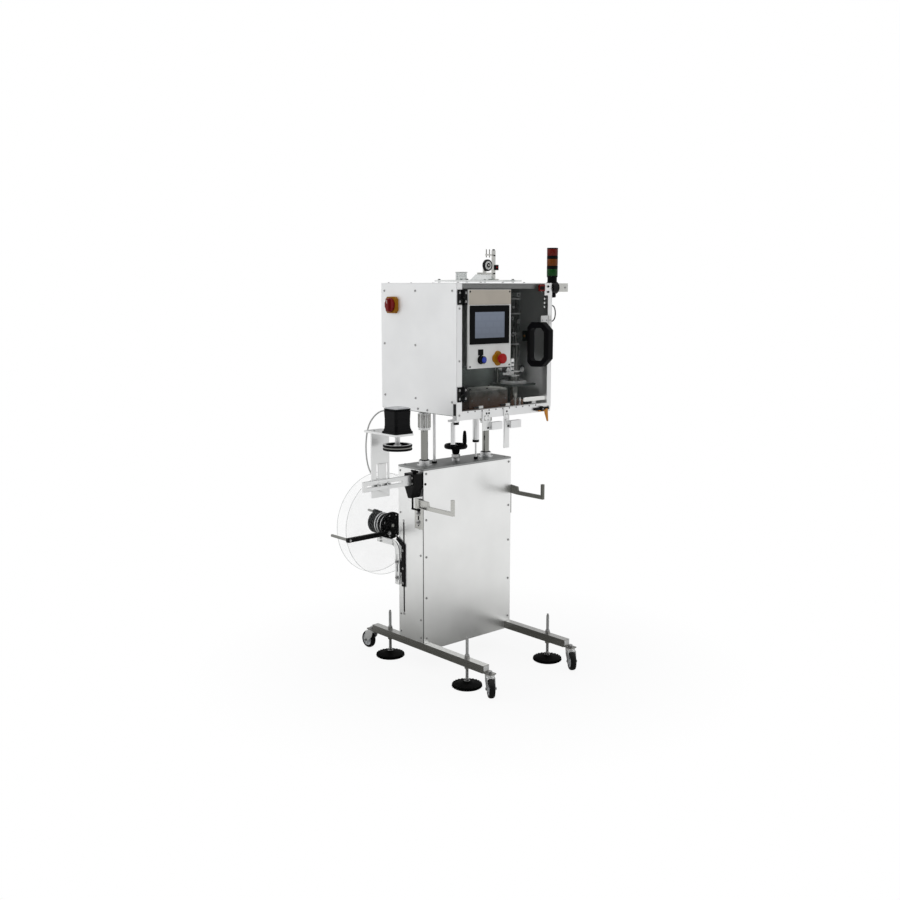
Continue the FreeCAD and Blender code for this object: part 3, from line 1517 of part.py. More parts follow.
main()
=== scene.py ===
import logging
import math
from collections.abc import Iterable, Iterator, Sequence
from dataclasses import dataclass
from enum import Enum
from functools import cache
from itertools import product

import bmesh
import bpy
from mathutils import Matrix, Vector


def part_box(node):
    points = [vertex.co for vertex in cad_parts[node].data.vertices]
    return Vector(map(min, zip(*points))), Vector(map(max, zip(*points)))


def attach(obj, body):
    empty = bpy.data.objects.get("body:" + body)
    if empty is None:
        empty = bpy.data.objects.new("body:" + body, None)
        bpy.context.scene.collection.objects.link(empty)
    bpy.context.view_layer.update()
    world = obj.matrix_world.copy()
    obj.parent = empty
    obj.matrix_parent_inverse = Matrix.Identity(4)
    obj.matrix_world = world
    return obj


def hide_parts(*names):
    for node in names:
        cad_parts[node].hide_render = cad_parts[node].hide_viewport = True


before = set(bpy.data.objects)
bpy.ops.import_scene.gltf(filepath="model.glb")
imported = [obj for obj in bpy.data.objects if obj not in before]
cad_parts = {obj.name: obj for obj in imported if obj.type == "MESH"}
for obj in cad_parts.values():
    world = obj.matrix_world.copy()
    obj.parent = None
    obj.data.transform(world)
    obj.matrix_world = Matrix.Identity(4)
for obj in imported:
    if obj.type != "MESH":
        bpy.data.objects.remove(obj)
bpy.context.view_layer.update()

logging.basicConfig(level=logging.INFO, format="%(message)s")
log = logging.getLogger("sleeve_applicator")

Point = tuple[float, float, float]
Colour = tuple[float, float, float]
Socket = bpy.types.NodeSocket
LEFT, RIGHT = (-1, 0, 0), (1, 0, 0)
FRONT, BACK = (0, -1, 0), (0, 1, 0)
DOWN, UP = (0, 0, -1), (0, 0, 1)
WHITE = (1, 1, 1, 1)


def title(key: str) -> str:
    """A socket's name as Blender writes it, from its name in snake case."""
    return key.replace("_", " ").title().replace("Ior", "IOR")


def grey(level: float) -> Colour:
    """A colour without hue."""
    return (level, level, level)


def shade(colour: Colour, factor: float = 1.0) -> tuple[float, float, float, float]:
    """A colour made lighter or darker, with its alpha."""
    return tuple(min(1.0, c * factor) for c in colour) + (1.0,)


class Wiring:
    """Adds nodes to a tree and joins them, so that a finish reads as a short recipe."""

    def __init__(self, tree: bpy.types.NodeTree) -> None:
        """Keeps the tree that the nodes go into."""
        self.tree = tree

    def put(self, socket: Socket, value: object) -> None:
        """Feeds a socket from another one, or sets its constant."""
        if isinstance(value, Socket):
            self.tree.links.new(value, socket)
        else:
            socket.default_value = value

    def add(self, kind: str, inputs: dict | None = None, **settings: object) -> bpy.types.Node:
        """Adds one node.

        Args:
            kind: Blender's name of the node type, without its first part.
            inputs: socket name or number to a plain value or to the socket that feeds it.
            settings: the node's own properties.

        Returns:
            The new node.
        """
        node = self.tree.nodes.new("ShaderNode" + kind)
        for key, value in settings.items():
            setattr(node, key, value)
        for key, value in (inputs or {}).items():
            self.put(node.inputs[key], value)
        return node

    def place(self) -> Socket:
        """Metres in the row frame."""
        return self.add("TexCoord").outputs["Object"]

    def split(self, vector: Socket) -> Sequence[Socket]:
        """The three parts of a vector."""
        return self.add("SeparateXYZ", {0: vector}).outputs

    def length(self, vector: Socket) -> Socket:
        """The length of a vector."""
        return self.add("VectorMath", {0: vector}, operation="LENGTH").outputs["Value"]

    def noise(self, vector: Socket, scale: object, detail: float = 2.0, **more: float) -> Socket:
        """A noise texture's value at a vector."""
        inputs = {"Vector": vector, "Scale": scale, "Detail": detail}
        inputs.update({title(key): value for key, value in more.items()})
        return self.add("TexNoise", inputs).outputs[0]

    def ramp(self, value: Socket, low: float, high: float, to_low: float = 0.0,
             to_high: float = 1.0) -> Socket:
        """A value moved from one range to another, held at the ends."""
        return self.add("MapRange", {0: value, 1: low, 2: high, 3: to_low, 4: to_high}).outputs[0]

    def maths(self, operation: str, first: object, second: object) -> Socket:
        """One arithmetic step."""
        return self.add("Math", {0: first, 1: second}, operation=operation).outputs[0]

    def times(self, first: object, second: object) -> Socket:
        """A product."""
        return self.maths("MULTIPLY", first, second)

    def plus(self, first: object, second: object) -> Socket:
        """A sum."""
        return self.maths("ADD", first, second)

    def blend(self, factor: object, first: object, second: object) -> Socket:
        """Two colours mixed."""
        return self.add("Mix", {0: factor, 6: first, 7: second}, data_type="RGBA").outputs[2]

    def switch(self, factor: Socket, first: bpy.types.Node, second: bpy.types.Node) -> bpy.types.Node:
        """Two shaders mixed."""
        return self.add("MixShader", {0: factor, 1: first.outputs[0], 2: second.outputs[0]})


class Group(Wiring):
    """A shader node group in the making, with its inputs and outputs named in snake case."""

    def __init__(self, name: str, **inputs: object) -> None:
        """Starts a group with the first value of each input."""
        super().__init__(bpy.data.node_groups.new(name, "ShaderNodeTree"))
        for key, value in inputs.items():
            kind = "NodeSocketFloat" if isinstance(value, float) else "NodeSocketVector"
            socket = self.tree.interface.new_socket(title(key), in_out="INPUT", socket_type=kind)
            socket.default_value = value
        self.inside = self.tree.nodes.new("NodeGroupInput").outputs

    def close(self, **outputs: Socket) -> bpy.types.NodeTree:
        """Adds the outputs and gives the group."""
        for key in outputs:
            self.tree.interface.new_socket(title(key), in_out="OUTPUT", socket_type="NodeSocketFloat")
        end = self.tree.nodes.new("NodeGroupOutput")
        for key, value in outputs.items():
            self.put(end.inputs[title(key)], value)
        return self.tree


class EffectLibrary:
    """Shader node groups that several finishes share, each built once."""

    @staticmethod
    @cache
    def grain() -> bpy.types.NodeTree:
        """Stretched lines, as a brush, a mill or a mould leaves them, and slow clouds over them."""
        group = Group("grain", stretch=(0.0, 0.0, 0.0), cloud_scale=6.0)
        place = group.place()
        inputs = {0: place, 1: group.inside["Stretch"]}
        stretched = group.add("VectorMath", inputs, operation="MULTIPLY").outputs[0]
        coarse, fine = group.noise(stretched, 1.0, 3.0), group.noise(stretched, 3.7)
        lines = group.plus(group.times(coarse, 0.6), group.times(fine, 0.4))
        return group.close(lines=lines, clouds=group.noise(place, group.inside["Cloud Scale"], 3.0))

    @staticmethod
    @cache
    def wear() -> bpy.types.NodeTree:
        """A mask that is 1 on rubbed edges, broken up by noise."""
        group = Group("edge_wear", start=0.53, breakup=90.0)
        edge = group.add("NewGeometry").outputs["Pointiness"]
        sharp = group.times(group.maths("SUBTRACT", edge, group.inside["Start"]), 14.0)
        patch = group.ramp(group.noise(group.place(), group.inside["Breakup"], 3.0), 0.35, 0.65)
        return group.close(mask=group.ramp(group.times(sharp, patch), 0.0, 1.0))

    @staticmethod
    @cache
    def dust() -> bpy.types.NodeTree:
        """A mask of the dust that settles on faces that look up."""
        group = Group("settled_dust", amount=0.3)
        flat = group.ramp(group.split(group.add("NewGeometry").outputs["Normal"])[2], 0.55, 0.98)
        patch = group.ramp(group.noise(group.place(), 38.0, 5.0), 0.38, 0.72)
        return group.close(mask=group.times(group.times(flat, patch), group.inside["Amount"]))

    @staticmethod
    @cache
    def handling() -> bpy.types.NodeTree:
        """A slow unevenness of the gloss, as wiping and touching leave it."""
        group = Group("handling", scale=9.0)
        smear = group.noise(group.place(), group.inside["Scale"], 6.0, distortion=0.8)
        return group.close(value=group.ramp(smear, 0.3, 0.7))


class Bench(Wiring):
    """One material in the making: its Principled shader and the shared effects placed in it."""

    def __init__(self, name: str) -> None:
        """Starts a node material with one Principled shader."""
        self.material = bpy.data.materials.new(name)
        self.material.use_nodes = True
        super().__init__(self.material.node_tree)
        self.tree.nodes.clear()
        self.shader = self.add("BsdfPrincipled")
        self.add("OutputMaterial", {"Surface": self.shader.outputs[0]})

    def effect(self, group: bpy.types.NodeTree, **values: object) -> Sequence[Socket]:
        """Places a shared effect, with its inputs named in snake case, and gives its outputs."""
        inputs = {title(key): value for key, value in values.items()}
        return self.add("Group", inputs, node_tree=group).outputs

    def grain(self, stretch: Point, cloud_scale: float) -> Sequence[Socket]:
        """The lines and the clouds of the grain effect."""
        return self.effect(EffectLibrary.grain(), stretch=stretch, cloud_scale=cloud_scale)

    def touch(self, scale: float, low: float = 0.0, high: float = 1.0) -> Socket:
        """The handling effect, between two values."""
        value = self.effect(EffectLibrary.handling(), scale=scale)[0]
        return value if (low, high) == (0.0, 1.0) else self.ramp(value, 0.0, 1.0, low, high)

    def dust(self, amount: float) -> Socket:
        """The mask of the dust effect."""
        return self.effect(EffectLibrary.dust(), amount=amount)[0]

    def feed(self, **values: object) -> None:
        """Gives the shader's sockets, named in snake case, a value or the socket that feeds them."""
        for key, value in values.items():
            self.put(self.shader.inputs[title(key)], value)

    def bump(self, height: Socket, depth: float, strength: float = 1.0) -> None:
        """Raises the surface by a height map, depth in metres."""
        node = self.add("Bump", {"Height": height, "Distance": depth, "Strength": strength})
        self.feed(normal=node.outputs[0])


@dataclass(frozen=True)
class BrushedMetal:
    """Bare metal with brushing lines along one direction."""

    colour: Colour
    stretch: Point = (900.0, 900.0, 14.0)
    roughness: float = 0.3
    spread: float = 0.14
    depth: float = 0.00002
    metallic: float = 1.0
    tone: float = 0.1
    cloud_tone_and_painted_reflection: float = 0.93

    def fill(self, bench: Bench) -> None:
        """Builds the material on a bench."""
        lines, clouds = bench.grain(self.stretch, 5.0)
        dust = bench.dust(0.1)
        metal = bench.blend(lines, shade(self.colour, 1 - self.tone), shade(self.colour, 1 + self.tone))
        # Clouds darken the metal at random; on the mechanism plate their strong darkening is painted
        # reflection.
        clouded = bench.blend(bench.ramp(clouds, 0.35, 0.65, 0.0, 0.8), metal, shade(self.colour, self.cloud_tone_and_painted_reflection))
        half = self.spread / 2
        rough = bench.ramp(lines, 0.25, 0.75, self.roughness - half, self.roughness + half)
        uneven = bench.plus(rough, bench.times(bench.touch(7.0), 0.05))
        bench.feed(base_color=bench.blend(dust, clouded, (0.55, 0.53, 0.5, 1)), metallic=self.metallic,
                   roughness=bench.plus(uneven, bench.times(dust, 0.4)))
        bench.bump(lines, self.depth, 0.35)


@dataclass(frozen=True)
class PolishedBar:
    """Hard chrome on a ground bar, with faint turning rings."""

    colour: Colour = (0.25, 0.25, 0.235)
    roughness: float = 0.07

    def fill(self, bench: Bench) -> None:
        """Builds the material on a bench."""
        lines, clouds = bench.grain((6.0, 6.0, 2500.0), 20.0)
        bench.feed(base_color=bench.blend(clouds, shade(self.colour, 0.96), shade(self.colour, 1.03)),
                   roughness=bench.touch(24.0, self.roughness, self.roughness + 0.06), metallic=1.0)
        bench.bump(lines, 0.000004, 0.3)


@dataclass(frozen=True)
class Coat:
    """Paint, powder coat or moulded plastic: a fine texture, worn edges, a little dust and, where set, a
    painted glow.
    """

    colour: Colour
    worn: Colour
    roughness: float = 0.45
    texture: float = 1200.0
    depth: float = 0.00004
    wear: float = 0.5
    dust: float = 0.25
    coat: float = 0.0
    metallic: float = 0.0
    gloss: float = 0.3
    painted_glow: float = 0.0

    def fill(self, bench: Bench) -> None:
        """Builds the material on a bench."""
        lines, clouds = bench.grain((self.texture,) * 3, 14.0)
        wear = bench.effect(EffectLibrary.wear(), start=0.545, breakup=160.0)[0]
        tone = bench.blend(clouds, shade(self.colour, 0.9), shade(self.colour, 1.12))
        rubbed = bench.blend(bench.times(wear, self.wear), tone, shade(self.worn))
        rough = bench.ramp(lines, 0.3, 0.7, self.roughness - 0.05, self.roughness + 0.07)
        bench.feed(base_color=bench.blend(bench.dust(self.dust), rubbed, (0.42, 0.4, 0.37, 1)),
                   roughness=bench.plus(rough, bench.times(bench.touch(16.0), 0.08)), metallic=self.metallic,
                   specular_ior_level=self.gloss, coat_weight=self.coat, coat_roughness=0.08,
                   emission_color=shade(self.colour), emission_strength=self.painted_glow)
        bench.bump(lines, self.depth, 0.5)


@dataclass(frozen=True)
class ClearSheet:
    """A thin clear or smoked sheet, which shows more of itself at a flat angle."""

    tint: Colour
    body: float = 0.06
    rim: float = 0.5
    roughness: float = 0.05
    gloss: float = 0.5

    def fill(self, bench: Bench) -> None:
        """Builds the material on a bench."""
        lines, clouds = bench.grain((260.0, 260.0, 30.0), 8.0)
        touch = bench.touch(11.0)
        edge = bench.add("LayerWeight", {"Blend": 0.35}).outputs["Facing"]
        alpha = bench.plus(bench.ramp(edge, 0.2, 1.0, self.body, self.rim), bench.times(touch, 0.02))
        bench.feed(base_color=bench.blend(clouds, shade(self.tint, 0.9), shade(self.tint, 1.05)), alpha=alpha,
                   roughness=bench.ramp(touch, 0.0, 1.0, self.roughness, self.roughness + 0.05), ior=1.49,
                   specular_ior_level=self.gloss)
        bench.bump(lines, 0.000003, 0.15)
        bench.material.use_transparent_shadow = True


@dataclass(frozen=True)
class Lens:
    """A ribbed lamp lens, unlit, with a painted glow of its own colour and its ribs painted darker and
    lighter as painted shade and highlight.
    """

    colour: Colour
    painted_glow: float = 0.05
    ribs: float = 700.0

    def fill(self, bench: Bench) -> None:
        """Builds the material on a bench."""
        height = bench.split(bench.place())[2]
        # Each rib is painted darker on one side and lighter on the other as painted shade and highlight; the
        # emission is a painted glow.
        band = bench.ramp(bench.maths("SINE", bench.times(height, self.ribs * 2.0), 0.0), -1.0, 1.0)
        bench.feed(base_color=bench.blend(band, shade(self.colour, 0.55), shade(self.colour, 1.15)),
                   roughness=bench.ramp(band, 0.0, 1.0, 0.16, 0.28), specular_ior_level=0.16,
                   emission_color=bench.blend(band, shade(self.colour, 0.5), shade(self.colour)),
                   emission_strength=self.painted_glow)
        bench.bump(band, 0.0004, 0.6)


@dataclass(frozen=True)
class ThreadedSteel:
    """A zinc-plated screw thread, cut by a fine saw-toothed bump along the height, with painted shade in the
    grooves (pitch in metres).
    """

    colour: Colour = (0.52, 0.53, 0.53)
    pitch: float = 0.00175

    def fill(self, bench: Bench) -> None:
        """Builds the material on a bench."""
        height = bench.split(bench.place())[2]
        turn = bench.maths("PINGPONG", bench.maths("DIVIDE", height, self.pitch), 0.5)
        groove = bench.ramp(turn, 0.0, 0.5)
        touch = bench.touch(60.0)
        # The grooves are painted darker as painted shade.
        groove_painted_shade = bench.blend(groove, shade(self.colour, 0.45), shade(self.colour, 1.15))
        bench.feed(base_color=bench.blend(bench.times(touch, 0.4), groove_painted_shade, (0.3, 0.29, 0.27, 1)),
                   roughness=bench.ramp(touch, 0.0, 1.0, 0.28, 0.42), metallic=1.0)
        bench.bump(groove, 0.0006, 0.8)


@dataclass(frozen=True)
class StainedSheet:
    """A smoky sheet, copper at its foot and grey above, in uneven patches (heights in metres)."""

    low: Colour = (0.3, 0.13, 0.07)
    high: Colour = (0.36, 0.36, 0.33)
    bottom: float = 1.098
    top: float = 1.165
    patch: float = 0.035

    def fill(self, bench: Bench) -> None:
        """Builds the material on a bench."""
        place = bench.place()
        uneven = bench.plus(bench.split(place)[2], bench.times(bench.noise(place, 45.0, 5.0), self.patch))
        rise = bench.ramp(uneven, self.bottom + self.patch / 2, self.top + self.patch / 2)
        lines, clouds = bench.grain((160.0, 160.0, 30.0), 30.0)
        smoke = bench.blend(bench.ramp(clouds, 0.35, 0.7), shade(self.high, 0.45), shade(self.high))
        bench.feed(base_color=bench.blend(rise, shade(self.low), smoke), specular_ior_level=0.3,
                   roughness=bench.ramp(lines, 0.3, 0.7, 0.22, 0.4))
        bench.bump(lines, 0.00004, 0.3)


@dataclass(frozen=True)
class ScreenGlass:
    """The operator screen: a dim picture of generic fields under glass, with a painted sheen that lightens
    towards the top (heights in metres).
    """

    ground: Colour = (0.12, 0.14, 0.18)
    fields: Colour = (0.17, 0.2, 0.25)
    bottom: float = 1.386
    top: float = 1.486

    def fill(self, bench: Bench) -> None:
        """Builds the material on a bench."""
        axes = bench.split(bench.place())
        rise = bench.ramp(axes[2], self.bottom, self.top)
        flat = bench.add("CombineXYZ", {0: axes[0], 1: axes[2]}).outputs[0]
        grid = bench.add("TexBrick", {"Vector": flat, "Scale": 1.0, "Mortar Size": 0.004,
                                      "Brick Width": 0.041, "Row Height": 0.025, "Color1": shade(self.fields),
                                      "Color2": shade(self.fields, 0.9), "Mortar": shade(self.ground)})
        # Painted sheen: the glass is drawn lighter towards the top.
        sheen = bench.blend(rise, shade(self.ground, 0.85), shade(self.ground, 1.25))
        picture = bench.blend(0.14, sheen, grid.outputs[0])
        bench.feed(base_color=picture, emission_color=picture, emission_strength=0.35,
                   roughness=bench.touch(30.0, 0.06, 0.16), specular_ior_level=0.3)


class Finish(Enum):
    """Every finish on the machine, with the record's material slot that it belongs to and its recipe."""

    PANEL = "panel_steel", BrushedMetal((0.92, 0.925, 0.92), (700, 700, 9), 0.3, 0.1, metallic=0.92,
                                        tone=0.03)
    PANEL_FLAT = "panel_steel", BrushedMetal((0.9, 0.905, 0.905), (9, 9, 700), 0.42, 0.08, metallic=0.6,
                                             tone=0.02)
    TUBE = "frame_steel", BrushedMetal((0.38, 0.375, 0.36), (900, 16, 900), 0.24, 0.12, tone=0.1)
    WELD = "frame_steel", BrushedMetal((0.4, 0.38, 0.35), (500, 500, 500), 0.45, 0.2, 0.0002, tone=0.25)
    # A lighter copy of the frame steel for the tubes' top faces, as painted highlight.
    TUBE_TOP_PAINTED_HIGHLIGHT = "frame_steel", BrushedMetal((0.78, 0.78, 0.76), (900, 16, 900), 0.24, 0.12, tone=0.06)
    PLATE = "bracket_steel", BrushedMetal((0.86, 0.865, 0.86), (40, 900, 900), 0.32, 0.1, metallic=0.7)
    SCREW = "bracket_steel", BrushedMetal(grey(0.5), (900, 900, 900), 0.28, 0.1)
    THREAD = "bracket_steel", ThreadedSteel()
    HOOK = "bracket_steel", BrushedMetal((0.56, 0.56, 0.535), (40, 900, 900), 0.26, 0.1)
    # A darker copy of the hook steel, as painted shade on the right hook.
    HOOK_PAINTED_SHADE = "bracket_steel", BrushedMetal((0.15, 0.15, 0.135), (40, 900, 900), 0.26, 0.1)
    DARK_PLATE = "dark_plate", Coat((0.32, 0.325, 0.322), grey(0.5), 0.34, 900, metallic=0.6, dust=0.1)
    CHROME = "hard_chrome", PolishedBar()
    SECTION = "head_frame", BrushedMetal((0.84, 0.845, 0.845), (900, 900, 12), 0.36, 0.1, metallic=0.8,
                                         tone=0.04)
    # Its strong dark clouds are painted mottled reflections.
    MECHANISM = "mechanism_plate", BrushedMetal((0.2, 0.225, 0.215), (30, 700, 700), 0.34, 0.16,
                                                metallic=0.75, tone=0.16, cloud_tone_and_painted_reflection=0.4)
    COPPER_TRAY = "mechanism_plate", StainedSheet()
    BLACK_PLASTIC = "black_plastic", Coat((0.003, 0.003, 0.0035), grey(0.03), 0.4, 1800, wear=0.3, dust=0.02,
                                          gloss=0.06)
    BLACK_METAL = "black_metal", Coat((0.003, 0.003, 0.0035), grey(0.06), 0.3, 1200, wear=0.4, dust=0.02,
                                      gloss=0.08)
    FOOT_PLASTIC = "foot_plastic", Coat(grey(0.0015), grey(0.02), 0.5, 700, 0.00008, wear=0.3, dust=0.01,
                                        gloss=0.03)
    TYRE = "caster_rubber", Coat(grey(0.006), grey(0.04), 0.6, 500, 0.0001, dust=0.05, gloss=0.2)
    HUB_GREY = "caster_rubber", Coat((0.5, 0.51, 0.52), grey(0.72), 0.45, 900)
    CLEAR = "clear_sheet", ClearSheet((0.8, 0.83, 0.82), 0.03, 0.35)
    CLEAR_PLATE = "clear_sheet", ClearSheet((0.42, 0.47, 0.45), 0.22, 0.85)
    CLEAR_RIM = "clear_sheet", ClearSheet((0.45, 0.48, 0.47), 0.25, 0.6)
    SMOKED = "smoked_sheet", ClearSheet((0.014, 0.018, 0.016), 0.28, 0.72, 0.03, 0.15)
    WHITE_FACE = "operator_white", Coat((0.8, 0.8, 0.78), (0.7, 0.7, 0.68), 0.34, 1500, 0.00002, dust=0.1,
                                        wear=0.2)
    FACE_BAND = "operator_white", Coat((0.52, 0.47, 0.4), (0.6, 0.56, 0.48), 0.34, 1500, 0.00002, dust=0.05,
                                       wear=0.1)
    WHITE_PLASTIC = "operator_white", Coat((0.78, 0.78, 0.76), (0.6, 0.6, 0.58), 0.42, 900, dust=0.2)
    # A white plastic bar with a painted glow; it is no lamp.
    WHITE_BAR_PAINTED_GLOW = "operator_white", Coat((0.8, 0.8, 0.78), (0.6, 0.6, 0.58), 0.42, 900, dust=0.1, painted_glow=1.4)
    BEZEL = "screen_glass", Coat((0.002, 0.0022, 0.0025), grey(0.03), 0.2, 1500, 0.00001, dust=0.02,
                                 gloss=0.05)
    SCREEN = "screen_glass", ScreenGlass()
    RED = "red_plastic", Coat((0.36, 0.005, 0.004), (0.5, 0.06, 0.04), 0.3, 1200, 0.00002, dust=0.02,
                              gloss=0.2)
    # A darker copy of the red plastic, as painted shade on the main switch and the interlock.
    RED_PAINTED_SHADE = "red_plastic", Coat((0.17, 0.005, 0.004), (0.3, 0.04, 0.03), 0.3, 1200, 0.00002, dust=0.02,
                                   gloss=0.2)
    YELLOW = "amber_plastic", Coat((0.36, 0.16, 0.005), (0.6, 0.36, 0.1), 0.34, 1200, 0.00002, dust=0.02,
                                   gloss=0.15)
    # A darker copy of the yellow, as painted shade on the main switch's plate.
    YELLOW_PAINTED_SHADE = "amber_plastic", Coat((0.3, 0.125, 0.004), (0.45, 0.25, 0.05), 0.34, 1200, 0.00002,
                                        dust=0.02, gloss=0.12)
    AMBER = "amber_plastic", Coat((0.62, 0.24, 0.015), (0.8, 0.45, 0.15), 0.26, 1200, 0.00002, coat=0.2,
                                  dust=0.05)
    BLUE = "blue_plastic", Coat((0.01, 0.035, 0.38), (0.1, 0.2, 0.6), 0.24, 1200, 0.00001, coat=0.2,
                                dust=0.02)
    LENS_RED = "lamp_lens", Lens((0.13, 0.008, 0.004))
    LENS_AMBER = "lamp_lens", Lens((0.16, 0.04, 0.004))
    LENS_GREEN = "lamp_lens", Lens((0.005, 0.055, 0.008))
    KNIFE = "knife_steel", BrushedMetal((0.7, 0.705, 0.71), (500, 500, 60), 0.2, 0.1)
    RUBBER = "roller_rubber", Coat(grey(0.01), grey(0.06), 0.66, 800, 0.0001, dust=0.08)
    CABLE = "cable_sheath", Coat((0.5, 0.5, 0.49), grey(0.6), 0.46, 900, 0.00003, dust=0.05, gloss=0.2)

    @property
    def slot(self) -> str:
        """The record's material slot."""
        return self.value[0]

    @property
    def recipe(self) -> object:
        """The recipe of the material."""
        return self.value[1]


@cache
def paint(finish: Finish) -> bpy.types.Material:
    """A finish's material, made when a piece first asks for it."""
    bench = Bench(finish.name.lower())
    finish.recipe.fill(bench)
    return bench.material


def turn_frame(axis: Point) -> tuple[Vector, Vector, Vector]:
    """Two directions across an axis, and the axis."""
    along = Vector(axis).normalized()
    side = Vector(UP) if abs(along.z) < 0.9 else Vector(RIGHT)
    first = side.cross(along).normalized()
    return first, along.cross(first), along


def around(count: int, radius: float = 1.0, turn: float = 0.0) -> Iterator[tuple[float, float]]:
    """Places on a circle, from an angle on, as pairs of offsets."""
    for i in range(count):
        angle = turn + 2 * math.pi * i / count
        yield radius * math.cos(angle), radius * math.sin(angle)


def loops_between(low: Sequence, high: Sequence) -> list[tuple]:
    """The four-cornered loops between two rings with the same number of corners."""
    after = list(range(1, len(low))) + [0]
    return [(low[i], low[j], high[j], high[i]) for i, j in enumerate(after)]


def mirrored(profile: Sequence[tuple], middle: float = 0) -> list[tuple]:
    """A closed outline that goes on from its first half with that half's mirror image."""
    return list(profile) + [(radius, 2 * middle - height) for radius, height in reversed(profile)]


class Mesher:
    """Geometry of one piece, in millimetres in the row frame, and the finish of each face."""

    def __init__(self, usual: Finish | None = None) -> None:
        """Starts empty, with the finish of all faces that name none."""
        self.bm = bmesh.new()
        self.usual = usual
        self.finishes: list[Finish] = []

    def vert(self, point: Iterable[float]) -> bmesh.types.BMVert:
        """Adds a corner."""
        return self.bm.verts.new([c / 1000 for c in point])

    def skin(self, loops: Iterable[Sequence], finish: Finish | None = None) -> None:
        """Adds the faces of some loops of corners."""
        finish = finish or self.usual
        if finish not in self.finishes:
            self.finishes.append(finish)
        for loop in loops:
            self.bm.faces.new(loop).material_index = self.finishes.index(finish)

    def hull(self, low_ring: Iterable[Point], high_ring: Iterable[Point],
             finish: Finish | None = None) -> None:
        """A solid between two outlines with the same number of points."""
        low, high = [self.vert(p) for p in low_ring], [self.vert(p) for p in high_ring]
        self.skin([low[::-1], high] + loops_between(low, high), finish)

    def box(self, low: Point, high: Point, finish: Finish | None = None) -> None:
        """A block between two corners."""
        corners = [(low[0], low[1]), (high[0], low[1]), (high[0], high[1]), (low[0], high[1])]
        self.hull([(x, y, low[2]) for x, y in corners], [(x, y, high[2]) for x, y in corners], finish)

    def lathe(self, profile: Sequence[tuple], at: Point, axis: Point, segments: int = 48,
              closed: bool = False, finish: Finish | None = None) -> None:
        """A turned piece.

        Args:
            profile: (radius, height) pairs, with the number of flats as third entry for a polygon.
            at: the point at height 0.
            axis: the direction of height.
            segments: steps round the axis.
            closed: whether the outline joins up with itself, as a ring's does.
            finish: the finish of every face, or None for the usual one.
        """
        first, second, along = turn_frame(axis)
        rings = []
        for radius, height, *flats in profile:
            centre = Vector(at) + along * height
            if radius <= 1e-6:
                rings.append([self.vert(centre)])
                continue
            ring = []
            for i in range(segments):
                angle = 2 * math.pi * i / segments
                sector = 2 * math.pi / flats[0] if flats else 0
                reach = radius / math.cos(angle % sector - sector / 2) if flats else radius
                side = first * math.cos(angle) + second * math.sin(angle)
                ring.append(self.vert(centre + side * reach))
            rings.append(ring)
        loops = []
        for low, high in zip(rings, rings[1:] + rings[:closed]):
            if len(low) == len(high) > 1:
                loops += loops_between(low, high)
            elif len(high) > 1:
                loops += [(low[0], b, a) for a, b in zip(high, high[1:] + high[:1])]
            elif len(low) > 1:
                loops += [(a, b, high[0]) for a, b in zip(low, low[1:] + low[:1])]
        if not closed:
            loops += [ring for ring in (rings[0], rings[-1]) if len(ring) > 1]
        self.skin(loops, finish)

    def ring(self, inner: float, outer: float, height: float, at: Point, axis: Point, edge: float = 0.4,
             segments: int = 48, finish: Finish | None = None) -> None:
        """A washer or sleeve with eased edges."""
        e = min(edge, (outer - inner) / 3, height / 3)
        profile = [(inner, e), (inner + e, 0), (outer - e, 0), (outer, e), (outer, height - e),
                   (outer - e, height), (inner + e, height), (inner, height - e)]
        self.lathe(profile, at, axis, segments, True, finish)

    def disc(self, radius: float, height: float, at: Point, axis: Point, edge: float = 0.5,
             segments: int = 48, finish: Finish | None = None) -> None:
        """A round pad with eased edges."""
        e = min(edge, radius / 3, height / 3)
        profile = [(0, 0), (radius - e, 0), (radius, e), (radius, height - e), (radius - e, height),
                   (0, height)]
        self.lathe(profile, at, axis, segments, False, finish)

    def cap_screw(self, at: Point, axis: Point, radius: float = 4.5, finish: Finish = Finish.SCREW) -> None:
        """A cylinder-head screw with a hexagon socket."""
        h, s = radius * 1.1, radius * 0.5
        profile = [(0, h * 0.4), (s, h * 0.4, 6), (s, h, 6), (radius * 0.9, h), (radius, h * 0.9),
                   (radius, 0), (0, 0)]
        self.lathe(profile, at, axis, 24, False, finish)

    def button_screw(self, at: Point, axis: Point, radius: float = 4.5,
                     finish: Finish = Finish.SCREW) -> None:
        """A button-head screw with a hexagon socket, on its washer."""
        b, h, s = radius * 0.2, radius * 0.62, radius * 0.42
        profile = [(0, b + h * 0.35), (s, b + h * 0.35, 6), (s, b + h, 6), (radius * 0.72, b + h * 0.92),
                   (radius * 0.93, b + h * 0.6), (radius, b + h * 0.2), (radius, b), (0, b)]
        self.ring(radius * 0.5, radius * 1.3, b, at, axis, 0.2, 24, finish)
        self.lathe(profile, at, axis, 24, False, finish)

    def hex_head(self, at: Point, axis: Point, flats: float, height: float) -> None:
        """A hexagon nut or bolt head with its chamfers, on a washer."""
        r, b = flats / 2, height * 0.18
        profile = [(0, b), (r * 0.96, b), (r, height * 0.28, 6), (r, height * 0.9, 6), (r * 0.93, height),
                   (0, height)]
        self.ring(r * 0.5, r * 1.3, b, at, axis, 0.3, 36, Finish.SCREW)
        self.lathe(profile, at, axis, 36, False, Finish.SCREW)

